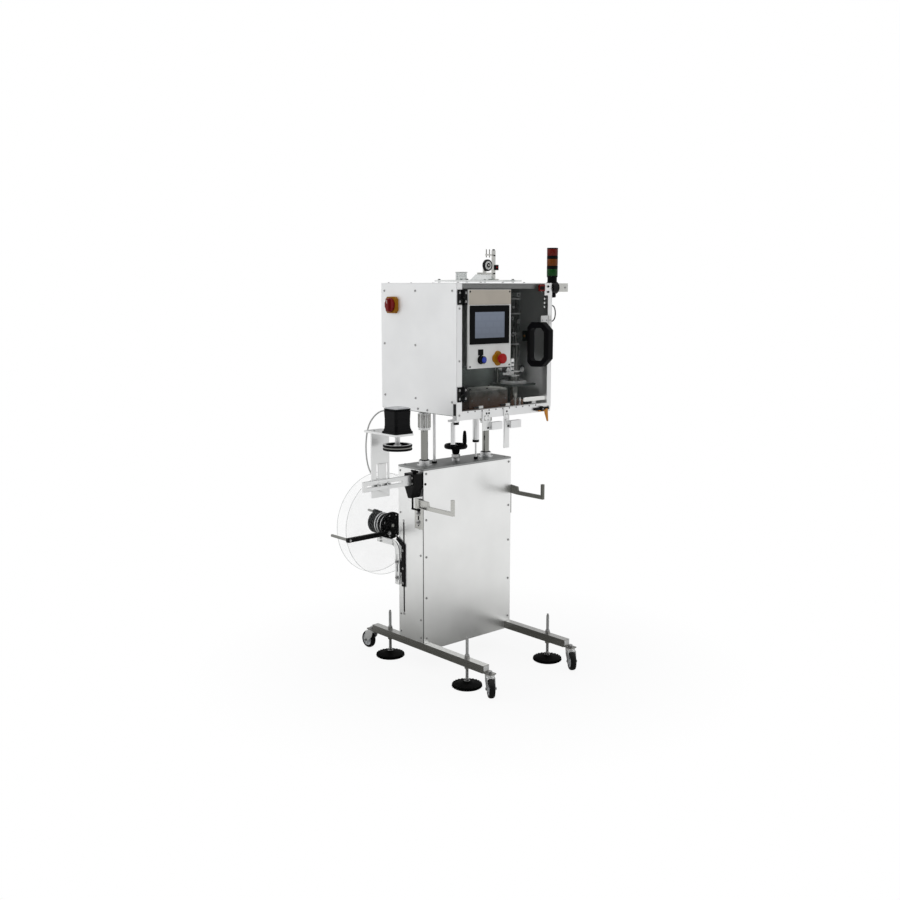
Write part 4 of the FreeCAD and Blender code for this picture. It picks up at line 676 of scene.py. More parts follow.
    def piece(self, name: str, body: str, replaces: Sequence[str] = (), bevel: float = 0.0, segments: int = 2,
              sharp: float = 34.0) -> None:
        """Turns the geometry into a finished piece.

        Args:
            name: the piece's name.
            body: the body it rides on.
            replaces: CAD nodes that it stands for.
            bevel: width of the eased edges, in millimetres.
            segments: steps over each eased edge.
            sharp: edges that turn more than this, in degrees, stay crisp.
        """
        bmesh.ops.recalc_face_normals(self.bm, faces=self.bm.faces)
        mesh = bpy.data.meshes.new(name)
        self.bm.to_mesh(mesh)
        self.bm.free()
        for finish in self.finishes:
            mesh.materials.append(paint(finish))
        mesh.polygons.foreach_set("use_smooth", [True] * len(mesh.polygons))
        mesh.set_sharp_from_angle(angle=math.radians(sharp))
        piece = bpy.data.objects.new(name, mesh)
        if bevel:
            ease_edges(piece, bevel, segments, sharp)
        settle(piece, body, replaces)
        log.info("piece %s: %d faces on %s", name, len(mesh.polygons), body)


def settle(piece: bpy.types.Object, body: str, replaces: Sequence[str]) -> None:
    """Puts a piece into the scene, on its body and in the place of CAD nodes."""
    bpy.context.scene.collection.objects.link(piece)
    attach(piece, body)
    if replaces:
        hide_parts(*replaces)


def ease_edges(piece: bpy.types.Object, width: float, segments: int, sharp: float) -> None:
    """Rounds the sharp edges of an object, by a width in millimetres."""
    bevel = piece.modifiers.new("eased edges", "BEVEL")
    bevel.width = width / 1000
    bevel.segments = segments
    bevel.limit_method = "ANGLE"
    bevel.angle_limit = math.radians(sharp)
    bevel.use_clamp_overlap = True
    bevel.miter_outer = "MITER_ARC"
    flat = piece.modifiers.new("flat faces", "WEIGHTED_NORMAL")
    flat.mode = "FACE_AREA"
    flat.weight = 50
    flat.keep_sharp = True


@dataclass(frozen=True)
class Zone:
    """A box of the row frame, in millimetres, in which a CAD node's faces take another finish."""

    low: Point
    high: Point
    finish: Finish

    def holds(self, centre: Vector) -> bool:
        """Whether a face's centre, in metres, lies in the box."""
        return all(a / 1000 - 1e-5 <= c <= b / 1000 + 1e-5 for a, c, b in zip(self.low, centre, self.high))


def dress(node: str, finish: Finish, bevel: float, zones: Sequence[Zone] = ()) -> None:
    """Finishes a CAD node as it stands: welded seams, edges eased by a width in millimetres, and zones."""
    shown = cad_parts[node]
    mesh = shown.data
    mesh.materials.clear()
    for entry in [finish] + [zone.finish for zone in zones]:
        mesh.materials.append(paint(entry))
    for face in mesh.polygons:
        face.use_smooth = True
        face.material_index = 0
        for index, zone in enumerate(zones):
            if zone.holds(face.center):
                face.material_index = index + 1
    shown.modifiers.new("weld", "WELD").merge_threshold = 0.00001
    ease_edges(shown, bevel, 2, 32.0)
    log.info("CAD node %s: %s", node, finish.name.lower())


def curve_piece(name: str, points: Sequence[Point], radius: float, finish: Finish, body: str,
                replaces: Sequence[str] = ()) -> bpy.types.Object:
    """A cable or wire: one smooth line through a row of control points.

    Args:
        name: the piece's name.
        points: control points, in millimetres in the row frame.
        radius: of the wire, in millimetres.
        finish: its finish.
        body: the body it rides on.
        replaces: CAD nodes that it stands for.

    Returns:
        The curve's object.
    """
    curve = bpy.data.curves.new(name, "CURVE")
    curve.dimensions = "3D"
    spline = curve.splines.new("NURBS")
    spline.points.add(len(points) - 1)
    for place, point in zip(spline.points, points):
        place.co = (*[c / 1000 for c in point], 1)
    spline.order_u = 3
    spline.use_endpoint_u = True
    curve.resolution_u = 12
    curve.bevel_depth = radius / 1000
    curve.bevel_resolution = 4
    curve.use_fill_caps = True
    curve.materials.append(paint(finish))
    piece = bpy.data.objects.new(name, curve)
    settle(piece, body, replaces)
    log.info("piece %s: cable on %s", name, body)
    return piece


# Every length from here to the end of the top unit is in millimetres.
# Mesher, dress and curve_piece turn them into metres.
CORNERS = {"front_left": (-1, -1), "front_right": (1, -1), "rear_left": (-1, 1), "rear_right": (1, 1)}


@dataclass
class LevellingFoot:
    """A domed black pad with ribs round its rim, on a long threaded stud."""

    corner: str
    pad_radius: float = 62
    rim_height: float = 13
    dome_height: float = 26
    neck_radius: float = 13
    stud_radius: float = 6
    stud_top: float = 205
    ribs: int = 24

    def build(self) -> None:
        """Builds the pad and the stud."""
        low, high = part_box("levelling_foot_" + self.corner)
        x, y = (low.x + high.x) / 2 * 1000, (low.y + high.y) / 2 * 1000
        body = "foot_" + self.corner
        mesher = Mesher(Finish.FOOT_PLASTIC)
        r = self.pad_radius
        profile = [(0, 1.5), (r * 0.62, 1.5), (r * 0.66, 0), (r - 6, 0), (r - 3.5, 1.5), (r - 2.5, 4),
                   (r - 2.5, self.rim_height - 2), (r - 5, self.rim_height), (r - 9, self.rim_height + 1.5),
                   (self.neck_radius + 13, self.dome_height - 6.5),
                   (self.neck_radius + 5, self.dome_height - 3), (self.neck_radius, self.dome_height),
                   (self.stud_radius * 1.2, self.dome_height), (0, self.dome_height - 1)]
        mesher.lathe(profile, (x, y, 0), UP, 96)
        top = self.rim_height + 0.8
        near, far, half = r - 12, r, 4.2
        for c, d in around(self.ribs, 1, math.pi / self.ribs):
            rings = [[(near, -half), (far, -half * 0.8), (far, half * 0.8), (near, half)],
                     [(near, -half), (far - 2, -half * 0.8), (far - 2, half * 0.8), (near, half)]]
            mesher.hull(*[[(x + c * u - d * v, y + d * u + c * v, z) for u, v in ring]
                          for ring, z in zip(rings, (3, top))])
        mesher.piece("pad_" + self.corner, body, ["levelling_foot_" + self.corner], bevel=0.8)
        stud = Mesher(Finish.THREAD)
        s = self.stud_radius
        top = self.stud_top
        stud.lathe([(0, 20), (s, 20), (s, top - 9), (s - 1.2, top - 7), (0, top - 7)], (x, y, 0), UP, 32)
        stud.lathe([(0, top - 8), (4.2, top - 8, 4), (4.2, top - 1, 4), (3.6, top), (0, top)], (x, y, 0), UP,
                   24, finish=Finish.SCREW)
        stud.hex_head((x, y, self.dome_height - 1), UP, 19, 9)
        stud.piece("stud_" + self.corner, body)


@dataclass
class Caster:
    """A swivel caster: pressed fork, wheel with a black tread on a grey hub, and its nuts."""

    corner: str
    wheel_radius: float = 37.5
    wheel_width: float = 25
    axle_height: float = 38.5
    beam_x: float = 234
    trail: float = 26
    reach: float = 26.5
    front_turn: float = -34
    beam_front: float = -350
    beam_rear: float = 345

    def places(self) -> tuple[Vector, Vector, Vector]:
        """The swivel's place, the wheel's centre and the axle's direction."""
        side, out = CORNERS[self.corner]
        end = self.beam_front if out < 0 else self.beam_rear
        swivel = Vector((side * self.beam_x, end + out * self.reach, 0))
        turn = Matrix.Rotation(math.radians(self.front_turn if out < 0 else 0), 3, "Z")
        wheel = swivel + turn @ Vector((0, out * self.trail, 0)) + Vector((0, 0, self.axle_height))
        return swivel, wheel, turn @ Vector(RIGHT)

    def build(self) -> None:
        """Builds the wheel and dresses the fork."""
        swivel, wheel, axle = self.places()
        dress("caster_fork_" + self.corner, Finish.PLATE, 0.8)
        trim = Mesher(Finish.BLACK_METAL)
        trim.ring(10, 18.5, 4, (swivel.x, swivel.y, 81.5), UP)
        for way in (-1, 1):
            out = axle * way
            trim.hex_head(wheel + out * 17.2, out, 10, 4.5)
        trim.piece("caster_trim_" + self.corner, "swivel_" + self.corner)
        tyre = Mesher(Finish.TYRE)
        r, w = self.wheel_radius, self.wheel_width
        outer = [(r * 0.7, -w * 0.38), (r * 0.74, -w * 0.46), (r * 0.84, -w * 0.46), (r * 0.93, -w * 0.4),
                 (r * 0.985, -w * 0.26), (r, -w * 0.1)]
        tyre.lathe(mirrored(outer), wheel, axle, 64, closed=True)
        for way in (-1, 1):
            tyre.ring(r * 0.86, r * 0.885, 0.6, wheel + axle * way * w * 0.455, axle * way, 0.2, 64)
        hub = [(4.2, -w * 0.5), (r * 0.26, -w * 0.5), (r * 0.3, -w * 0.44), (r * 0.34, -w * 0.22),
               (r * 0.62, -w * 0.22), (r * 0.67, -w * 0.4), (r * 0.715, -w * 0.4)]
        tyre.lathe(mirrored(hub), wheel, axle, 48, closed=True, finish=Finish.HUB_GREY)
        first, second, along = turn_frame(axle)
        for u, v in around(5):
            out = first * u + second * v
            side = out.cross(along) * 2.2
            near, far = wheel + out * r * 0.3, wheel + out * r * 0.66
            ring = [near - side, far - side, far + side, near + side]
            step = along * w * 0.34
            tyre.hull([p - step for p in ring], [p + step for p in ring], Finish.HUB_GREY)
        tyre.piece("caster_wheel_dressed_" + self.corner, "roll_" + self.corner,
                   ["caster_wheel_" + self.corner])


@dataclass
class WheeledBase:
    """The tube frame with its welds, nuts, pale end caps, feet and casters."""

    beam_x: float = 234
    tube: float = 32
    bottom: float = 86
    front: float = -350
    rear: float = 345
    cross_front: float = 16
    cross_rear: float = 114
    foot_y: float = 245

    def build(self) -> None:
        """Builds everything that stands on the floor."""
        top = self.bottom + self.tube
        # The tubes' top faces take a lighter copy of the steel as painted highlight.
        lit_top_faces = Zone((-1000, -1000, top - 0.5), (1000, 1000, top + 0.5), Finish.TUBE_TOP_PAINTED_HIGHLIGHT)
        dress("base_frame", Finish.TUBE, 1.2, [lit_top_faces])
        self.welds()
        self.hardware()
        for corner in CORNERS:
            LevellingFoot(corner).build()
            Caster(corner).build()

    def welds(self) -> None:
        """Lays a rippled weld bead round each joint of a cross tube and a beam."""
        mesher = Mesher(Finish.WELD)
        inside, low, high = self.beam_x - self.tube / 2, self.bottom, self.bottom + self.tube
        for x, y in product((-inside, inside), (self.cross_front, self.cross_rear)):
            corners = [(x, y, low), (x, y + self.tube, low), (x, y + self.tube, high), (x, y, high)]
            for start, end in zip(corners, corners[1:] + corners[:1]):
                self.bead(mesher, start, end)
        mesher.piece("weld_beads", "machine_base", sharp=60)

    def bead(self, mesher: Mesher, start: Point, end: Point, radius: float = 1.7) -> None:
        """One run of weld between two points."""
        first, last = Vector(start), Vector(end)
        way = last - first
        count = 22
        profile = []
        for i in range(count + 1):
            ripple = 0.85 + 0.15 * math.sin(i * 2.1)
            ease = math.sin(math.pi * (i + 0.5) / (count + 1)) ** 0.25
            profile.append((radius * ripple * ease, way.length * i / count))
        mesher.lathe([(0, 0)] + profile + [(0, way.length)], start, way, 10)

    def hardware(self) -> None:
        """Adds the stud lock nuts, the caster nuts and the pale caps in the beam ends."""
        mesher = Mesher(Finish.SCREW)
        top = self.bottom + self.tube
        for x, y in product((-self.beam_x, self.beam_x), (-self.foot_y, self.foot_y)):
            mesher.ring(6.6, 13.5, 1.6, (x, y, top - 1.2), UP)
            mesher.ring(6.6, 13.5, 1.6, (x, y, self.bottom + 1.2), DOWN)
            mesher.ring(6.4, 9.2, 6, (x, y, top + 9.8), UP, 0.8)
        for x, y in product((-self.beam_x, self.beam_x), (self.front - 26, self.rear + 26)):
            mesher.hex_head((x, y, 93.7), UP, 16, 8)
        mesher.piece("base_hardware", "machine_base")
        caps = Mesher(Finish.WHITE_PLASTIC)
        half = self.tube / 2 - 2.2
        middle = self.bottom + self.tube / 2
        for x, y in product((-self.beam_x, self.beam_x), (self.front - 7, self.rear + 5)):
            caps.box((x - half, y, middle - 6), (x + half, y + 2, middle + half))
        caps.piece("beam_end_caps", "machine_base", bevel=0.7)


@dataclass
class Cabinet:
    """The sheet cabinet: panels, dark top plate, column wipers and its screws."""

    half_width: float = 250
    depth: float = 162
    bottom: float = 118.3
    shell_top: float = 845
    top: float = 853
    column_x: float = 175
    column_y: float = 82
    front_screws: tuple[float, ...] = (832, 640, 485, 312, 140)
    side_screws: tuple[float, ...] = (830, 653, 490, 216, 140)

    def build(self) -> None:
        """Builds the cabinet's looks."""
        dress("cabinet_front_panel", Finish.PANEL, 0.7)
        dress("cabinet_shell", Finish.PANEL, 1.2)
        plates = Zone((-251, 0, 853.5), (251, self.depth, 900), Finish.SECTION)
        dress("cabinet_top_plate", Finish.DARK_PLATE, 1.2, [plates])
        dress("guide_rods", Finish.SECTION, 0.8)
        self.screws()
        self.seams()
        self.wipers()

    def screws(self) -> None:
        """Adds the button-head screws of all four sides."""
        mesher = Mesher()
        for z, x in product(self.front_screws, (-236, 236)):
            mesher.button_screw((x, 0, z), FRONT, 4.2)
        for z, side, y in product(self.side_screws, (-1, 1), (20, 149)):
            beside_slot = y == 149 and 330 < z < 560
            if not beside_slot:
                mesher.button_screw((side * self.half_width, y, z), (side, 0, 0), 3.8)
        for z, x in product((800, 480, 165), (-225, 0, 225)):
            mesher.button_screw((x, self.depth, z), BACK, 3.8)
        mesher.piece("cabinet_screws", "machine_base")

    def seams(self) -> None:
        """Adds the dark joint behind the front panel, a plug, the rear cover and the slot's end plates."""
        mesher = Mesher(Finish.BLACK_METAL)
        w = self.half_width
        for x, strip in ((-w + 0.2, -w - 0.4), (w - 3.2, w)):
            mesher.box((x, 2.4, self.bottom + 1), (x + 3, 3.6, self.shell_top - 1))
            mesher.box((strip, 1, self.bottom + 2), (strip + 0.4, 5.2, self.shell_top - 2))
        mesher.disc(5.2, 1.6, (-240.5, 0, 790), FRONT, 0.4, 32, finish=Finish.BLACK_PLASTIC)
        mesher.piece("cabinet_joint", "machine_base")
        door = Mesher(Finish.PANEL)
        door.box((-205, self.depth, 200), (205, self.depth + 1.5, 760))
        door.piece("cabinet_rear_cover", "machine_base", bevel=0.6)
        lips = Mesher(Finish.SCREW)
        for z0, z1 in ((214, 225), (614, 625)):
            lips.box((-w - 0.2, 122.5, z0), (-w, 135.5, z1))
        lips.piece("slot_end_plates", "machine_base", bevel=0.4)

    def wipers(self) -> None:
        """Adds the black wiper rings on the column bosses, their screws and the lift screw's collar."""
        mesher = Mesher(Finish.BLACK_METAL)
        for x in (-self.column_x, self.column_x):
            mesher.ring(15.6, 20.5, 2.2, (x, self.column_y, self.top + 20), UP, 0.6,
                        finish=Finish.BLACK_PLASTIC)
            for u, v in around(4, 27.5, math.pi / 4):
                mesher.cap_screw((x + u, self.column_y + v, self.top + 5), UP, 2.4)
        for x, y in product((-225, -70, 70, 225), (14, 148)):
            mesher.cap_screw((x, y, self.top - 0.6), UP, 3.6)
        mesher.ring(6.3, 11, 8, (-114, 90, self.top), UP, 1)
        mesher.ring(4.3, 9, 10, (89, 53, self.top), UP, 1)
        mesher.piece("top_plate_trim", "machine_base")


@dataclass
class LiftColumns:
    """The chrome columns with their split collars, the strut, and the handwheel with its grip."""

    column_x: float = 175
    column_y: float = 82
    collar_radius: float = 25
    rim_z: float = 914
    rim_radius: float = 43
    rim_tube: float = 7
    grip: Point = (28, 57, 921.3)
    grip_height: float = 58

    def build(self) -> None:
        """Builds the lift."""
        collars = [Zone((x - 30, 50, 995), (x + 30, 115, 1075), Finish.SECTION)
                   for x in (-self.column_x, self.column_x)]
        yoke = Zone((-200, 50, 570), (200, 110, 625), Finish.PLATE)
        dress("lift_frame", Finish.CHROME, 0.9, collars + [yoke])
        dress("strut_body", Finish.SECTION, 0.9)
        self.trim()
        self.wheel()

    def trim(self) -> None:
        """Adds the clamp screws and seat rings of the collars, and the strut's black ends."""
        mesher = Mesher(Finish.SECTION)
        for x in (-self.column_x, self.column_x):
            for z in (1014, 1056):
                mesher.cap_screw((x - 19.5, self.column_y - 16.5, z), FRONT, 3.4)
            mesher.ring(25.3, 34, 6, (x, self.column_y, 1079), UP, 1)
            flutes = [[(x + r * math.cos(a), self.column_y + r * math.sin(a), z) for a, r in self.fluting()]
                      for z in (1010, 1066)]
            mesher.hull(*flutes, Finish.CHROME)
            for u, v in around(4, 29.5, math.pi / 4):
                mesher.cap_screw((x + u, self.column_y + v, 1078.8), DOWN, 2.1)
        mesher.piece("collar_trim", "head")
        strut = Mesher(Finish.BLACK_METAL)
        strut.ring(5.5, 14.4, 12, (89, 53, 926.2), UP, 1.5)
        strut.ring(14.1, 16.5, 10, (89, 53, 1075.5), UP, 1)
        strut.piece("strut_ends", "head")

    def fluting(self) -> list[tuple[float, float]]:
        """The fluted outline of a collar, as pairs of angle and radius."""
        steps = [2 * math.pi * i / 192 for i in range(192)]
        return [(a, self.collar_radius + 1.8 - 4 * abs(math.sin(10 * a)) ** 3) for a in steps]

    def wheel(self) -> None:
        """Builds the lobed black handwheel, its bright hub nut and screw, and the tapered grip."""
        z = self.rim_z
        mesher = Mesher(Finish.BLACK_PLASTIC)
        section = [(self.rim_radius + u, z + 1.35 * v) for u, v in around(20, self.rim_tube)]
        rings = []
        for u, v in around(120):
            lobe = 1 - 0.01 * (0.5 + 0.5 * math.cos(8 * math.atan2(v, u)))
            rings.append([mesher.vert((r * lobe * u, self.column_y + r * lobe * v, h)) for r, h in section])
        for ring, after in zip(rings, rings[1:] + rings[:1]):
            mesher.skin(loops_between(ring, after))
        web = [(0, -34), (12, -34), (14.5, -31), (17.5, -16), (24, -9), (34, -6.5), (41, -6), (41, 1),
               (33, -1.5), (24, -4), (18.5, -3.5), (15.5, 1.5), (12.5, 3), (0, 3)]
        mesher.lathe(web, (0, self.column_y, z), UP, 64)
        x, y, _ = self.grip
        mesher.lathe([(0, 0), (8.5, 0), (8.5, 8.5), (7.2, 10.5), (0, 10.5)], (x, y, z - 0.5), UP, 32)
        mesher.piece("handwheel_dressed", "lift_wheel", ["handwheel"], sharp=40)
        bright = Mesher(Finish.SCREW)
        bright.disc(8.5, 2.2, (0, self.column_y, z + 2.8), UP, 0.6)
        bright.hex_head((0, self.column_y, z + 4.5), UP, 10, 4)
        bright.lathe([(0, 0), (16, 0, 6), (16, 12, 6), (0, 12)], (0, self.column_y, z - 46.2), UP, 36)
        bright.ring(10.2, 15.5, 6, (0, self.column_y, 861.2), UP, 1)
        bright.lathe([(0, 515), (8.5, 515), (10, 516.5), (10, z - 30), (0, z - 30)], (0, self.column_y, 0),
                     UP, 32, finish=Finish.THREAD)
        bright.lathe([(0, 0), (3, 0), (3, 57), (2.2, 57.8), (0, 57.8)], (x, y, z + 9), UP, 24)
        bright.piece("handwheel_metal", "lift_wheel")
        grip = Mesher(Finish.BLACK_PLASTIC)
        h = self.grip_height
        outline = [(3.2, 0), (6.2, 0), (7, 1), (8.8, h * 0.16), (9, h * 0.3), (8.4, h * 0.55), (7.4, h * 0.8),
                   (6.2, h * 0.94), (4.8, h * 0.99), (3.2, h)]
        grip.lathe(outline, self.grip, UP, 48, closed=True)
        grip.piece("handwheel_grip_dressed", "lift_wheel_grip", ["handwheel_grip"], sharp=50)


@dataclass
class ConveyorHook:
    """A slotted side plate with a forward arm, held by two screws in its slot."""

    side: int
    slot_y: float = 26
    face: float = 256.3

    def build(self) -> None:
        """Dresses the hook and adds its screws."""
        name = "left" if self.side < 0 else "right"
        # The right hook takes a darker copy of the hook steel as painted shade.
        dress("conveyor_hook_" + name, Finish.HOOK if self.side < 0 else Finish.HOOK_PAINTED_SHADE, 1)
        mesher = Mesher(Finish.SCREW)
        out = (self.side, 0, 0)
        faces = sorted((self.side * 250, self.side * 250.4))
        mesher.box((faces[0], self.slot_y - 4.6, 600), (faces[1], self.slot_y + 4.6, 700), Finish.BLACK_METAL)
        for z in (630, 668):
            mesher.ring(3.5, 10.5, 1.6, (self.side * (self.face + 0.5), self.slot_y, z), out)
            mesher.cap_screw((self.side * (self.face + 2), self.slot_y, z), out, 5.2)
            mesher.disc(3.4, 7.5, (self.side * (self.face - 5.9), self.slot_y, z), out)
        mesher.piece("hook_screws_" + name, "hook_" + name)


@dataclass
class SpacingWheelUnit:
    """The clamp block, slotted bar, plate bracket, motor with its cable, and the horizontal wheel."""

    centre: tuple[float, float] = (-443, -73)
    plate_top: float = 1025
    flange: float = 90
    body: float = 77
    body_top: float = 1125
    wheel_bottom: float = 960
    wheel_radius: float = 57
    cable_points: tuple[Point, ...] = (
        (-443, -37, 1108), (-443, -6, 1108), (-447, 28, 1102), (-452, 62, 1080), (-457, 90, 1044),
        (-461, 100, 1000), (-463, 103, 950), (-460, 102, 903), (-454, 97, 866), (-447, 84, 840),
        (-443, 64, 828), (-443, 41.3, 828))

    def build(self) -> None:
        """Builds the unit."""
        crank = Zone((-310, -10, 600), (-262, 45, 734.8), Finish.BLACK_METAL)
        dress("bar_clamp_block", Finish.BLACK_METAL, 1.4, [crank])
        dress("cross_bar", Finish.PLATE, 0.9)
        dress("wheel_bracket", Finish.PLATE, 1.2)
        self.bolts()
        self.motor()
        self.wheel()
        self.lever()
        cable = curve_piece("motor_cable_dressed", self.cable_points, 3, Finish.CABLE, "wheel_carrier",
                            ["motor_cable"])

    def bolts(self) -> None:
        """Adds the bolts through the slots and the screws of the clamp block and the motor plate."""
        mesher = Mesher(Finish.SCREW)
        for x in (-459, -410):
            mesher.ring(4, 12.5, 2, (x, 41.3, 809.5), BACK)
            mesher.hex_head((x, 43, 809.5), BACK, 13, 6)
        mesher.piece("bracket_nuts", "wheel_carrier")
        front = Mesher(Finish.SECTION)
        for x in (-459, -410):
            front.ring(4, 10.5, 1.6, (x, 23, 809.5), FRONT)
            front.cap_screw((x, 21.6, 809.5), FRONT, 4.4)
        front.piece("bar_bolts", "bar")
        block = Mesher(Finish.BLACK_PLASTIC)
        for z, y in product((820, 798), (12, 54)):
            block.cap_screw((-297.5, y, z), LEFT, 4.2)
        block.disc(7.5, 9, (-280, 0, 689), FRONT, 2)
        block.piece("clamp_screws", "machine_base")
        plate = Mesher(Finish.SECTION)
        x, y = self.centre
        for dx, dy in product((-35.5, 35.5), repeat=2):
            plate.cap_screw((x + dx, y + dy, self.plate_top + 10), UP, 3.2)
        for dx in (-28, 28):
            plate.button_screw((x + dx, 37.5, self.plate_top), UP, 3.8)
        plate.ring(13.2, 20, 2.2, (x, y, 1017), DOWN, 0.6)
        plate.piece("motor_plate_screws", "wheel_carrier")

    def motor(self) -> None:
        """Builds the square black motor with its parting groove, its light cap and the cable glands."""
        x, y = self.centre
        z0 = self.plate_top

        def outline(half: float, corner: float, z: float) -> list[Point]:
            """A square with cut corners."""
            a, b = half, half - corner
            pairs = [(a, b), (b, a), (-b, a), (-a, b), (-a, -b), (-b, -a), (b, -a), (a, -b)]
            return [(x + u, y + v, z) for u, v in pairs]

        mesher = Mesher(Finish.BLACK_METAL)
        f, h = self.flange / 2, self.body / 2
        top = self.body_top
        levels = [(f, 6, z0), (f, 6, z0 + 8), (f - 2.5, 7, z0 + 9), (h + 1.2, 8, z0 + 20), (h, 8, z0 + 32),
                  (h, 8, z0 + 56), (h + 1.6, 8, top - 12), (h - 0.6, 8, top - 11.5), (h - 0.6, 8, top - 9.5),
                  (h + 1.6, 8, top - 9), (h + 1.6, 8, top - 4)]
        for low, high in zip(levels, levels[1:]):
            mesher.hull(outline(*low), outline(*high))
        mesher.piece("spacing_motor", "wheel_carrier", ["gap_wheel_motor"], bevel=0.8)
        cap = Mesher(Finish.HUB_GREY)
        cap.hull(outline(h - 1, 8, top - 4), outline(h - 3, 9, top))
        for dx, dy in product((-26, 26), repeat=2):
            cap.cap_screw((x + dx, y + dy, top - 3.2), UP, 2.6)
        cap.piece("spacing_motor_cap", "wheel_carrier", bevel=0.8)
        gland = Mesher(Finish.BLACK_PLASTIC)
        gland.lathe([(0, 0), (8.5, 0, 6), (8.5, 6, 6), (7.2, 7.5), (6.8, 13), (5, 16.5), (3.2, 17), (0, 17)],
                    (x, y + h - 1.5, 1108), BACK, 36)
        gland.lathe([(0, 0), (8, 0), (8, 4), (5.5, 10), (3.4, 11.5), (0, 11.5)], (x, 41, 828), BACK, 36)
        gland.piece("motor_cable_glands", "wheel_carrier")

    def wheel(self) -> None:
        """Builds the black wheel with a bright groove ring, pale rings painted on the rims' tops as
        highlights, a dished web with holes, and its hub.
        """
        x, y = self.centre
        z = self.wheel_bottom
        r = self.wheel_radius
        at = (x, y, z)
        mesher = Mesher(Finish.BLACK_PLASTIC)
        for low, high in ((0, 8.8), (12.8, 22)):
            mesher.ring(r - 13, r, high - low, (x, y, z + low), UP, 1.8, 96)
            # A thin pale ring on each rim's top is a painted highlight.
            mesher.ring(r - 12, r - 2, 0.6, (x, y, z + high - 0.3), UP, 0.2, 96, finish=Finish.SECTION)
        web = [(16, 4), (r - 13, 4), (r - 13, 14.5), (r - 16, 14.5), (r - 19, 11.5), (20, 11.5), (16, 14.5)]
        mesher.lathe(web, at, UP, 96, closed=True)
        for u, v in around(6, 30, math.pi / 6):
            place = (x + u, y + v, z + 11.3)
            mesher.ring(4.8, 6.6, 1.2, place, UP, 0.3, 32)
            mesher.disc(4.8, 0.6, place, UP, 0.1, 32, finish=Finish.RUBBER)
        mesher.piece("spacing_wheel_rim", "spacing_wheel", ["gap_wheel"])
        bright = Mesher(Finish.CHROME)
        bright.ring(r - 14, r - 1.6, 4.1, (x, y, z + 8.7), UP, 0.4, 96)
        hub = [(0, 2.5), (14.5, 2.5), (16, 4), (16, 18), (14.5, 20), (10, 21), (10, 64), (0, 64)]
        bright.lathe(hub, at, UP, 48, finish=Finish.SECTION)
        bright.cap_screw((x, y, z + 2.7), DOWN, 5)
        bright.cap_screw((x, y - 16, z + 11), FRONT, 2)
        bright.piece("spacing_wheel_hub", "spacing_wheel")

    def lever(self) -> None:
        """Builds the T-handle of the bar clamp."""
        x, y = -274, 28
        mesher = Mesher(Finish.BLACK_METAL)
        mesher.lathe([(0, 830.5), (3.8, 830.5), (3.8, 835), (8.2, 835.4), (8.8, 837), (8, 844), (6, 848.2),
                      (0, 848.6)], (x, y, 0), UP, 36)
        arm = [(0, 0), (3.4, 0), (4.6, 2), (4.6, 6), (3.6, 11), (3.4, 20), (3.6, 29), (4.6, 34), (4.6, 38),
               (3.4, 40), (0, 40)]
        mesher.lathe(arm, (x, y - 20, 844), BACK, 32, finish=Finish.BLACK_PLASTIC)
        mesher.piece("clamp_handle", "bar_clamp", ["clamp_lever"], sharp=50)


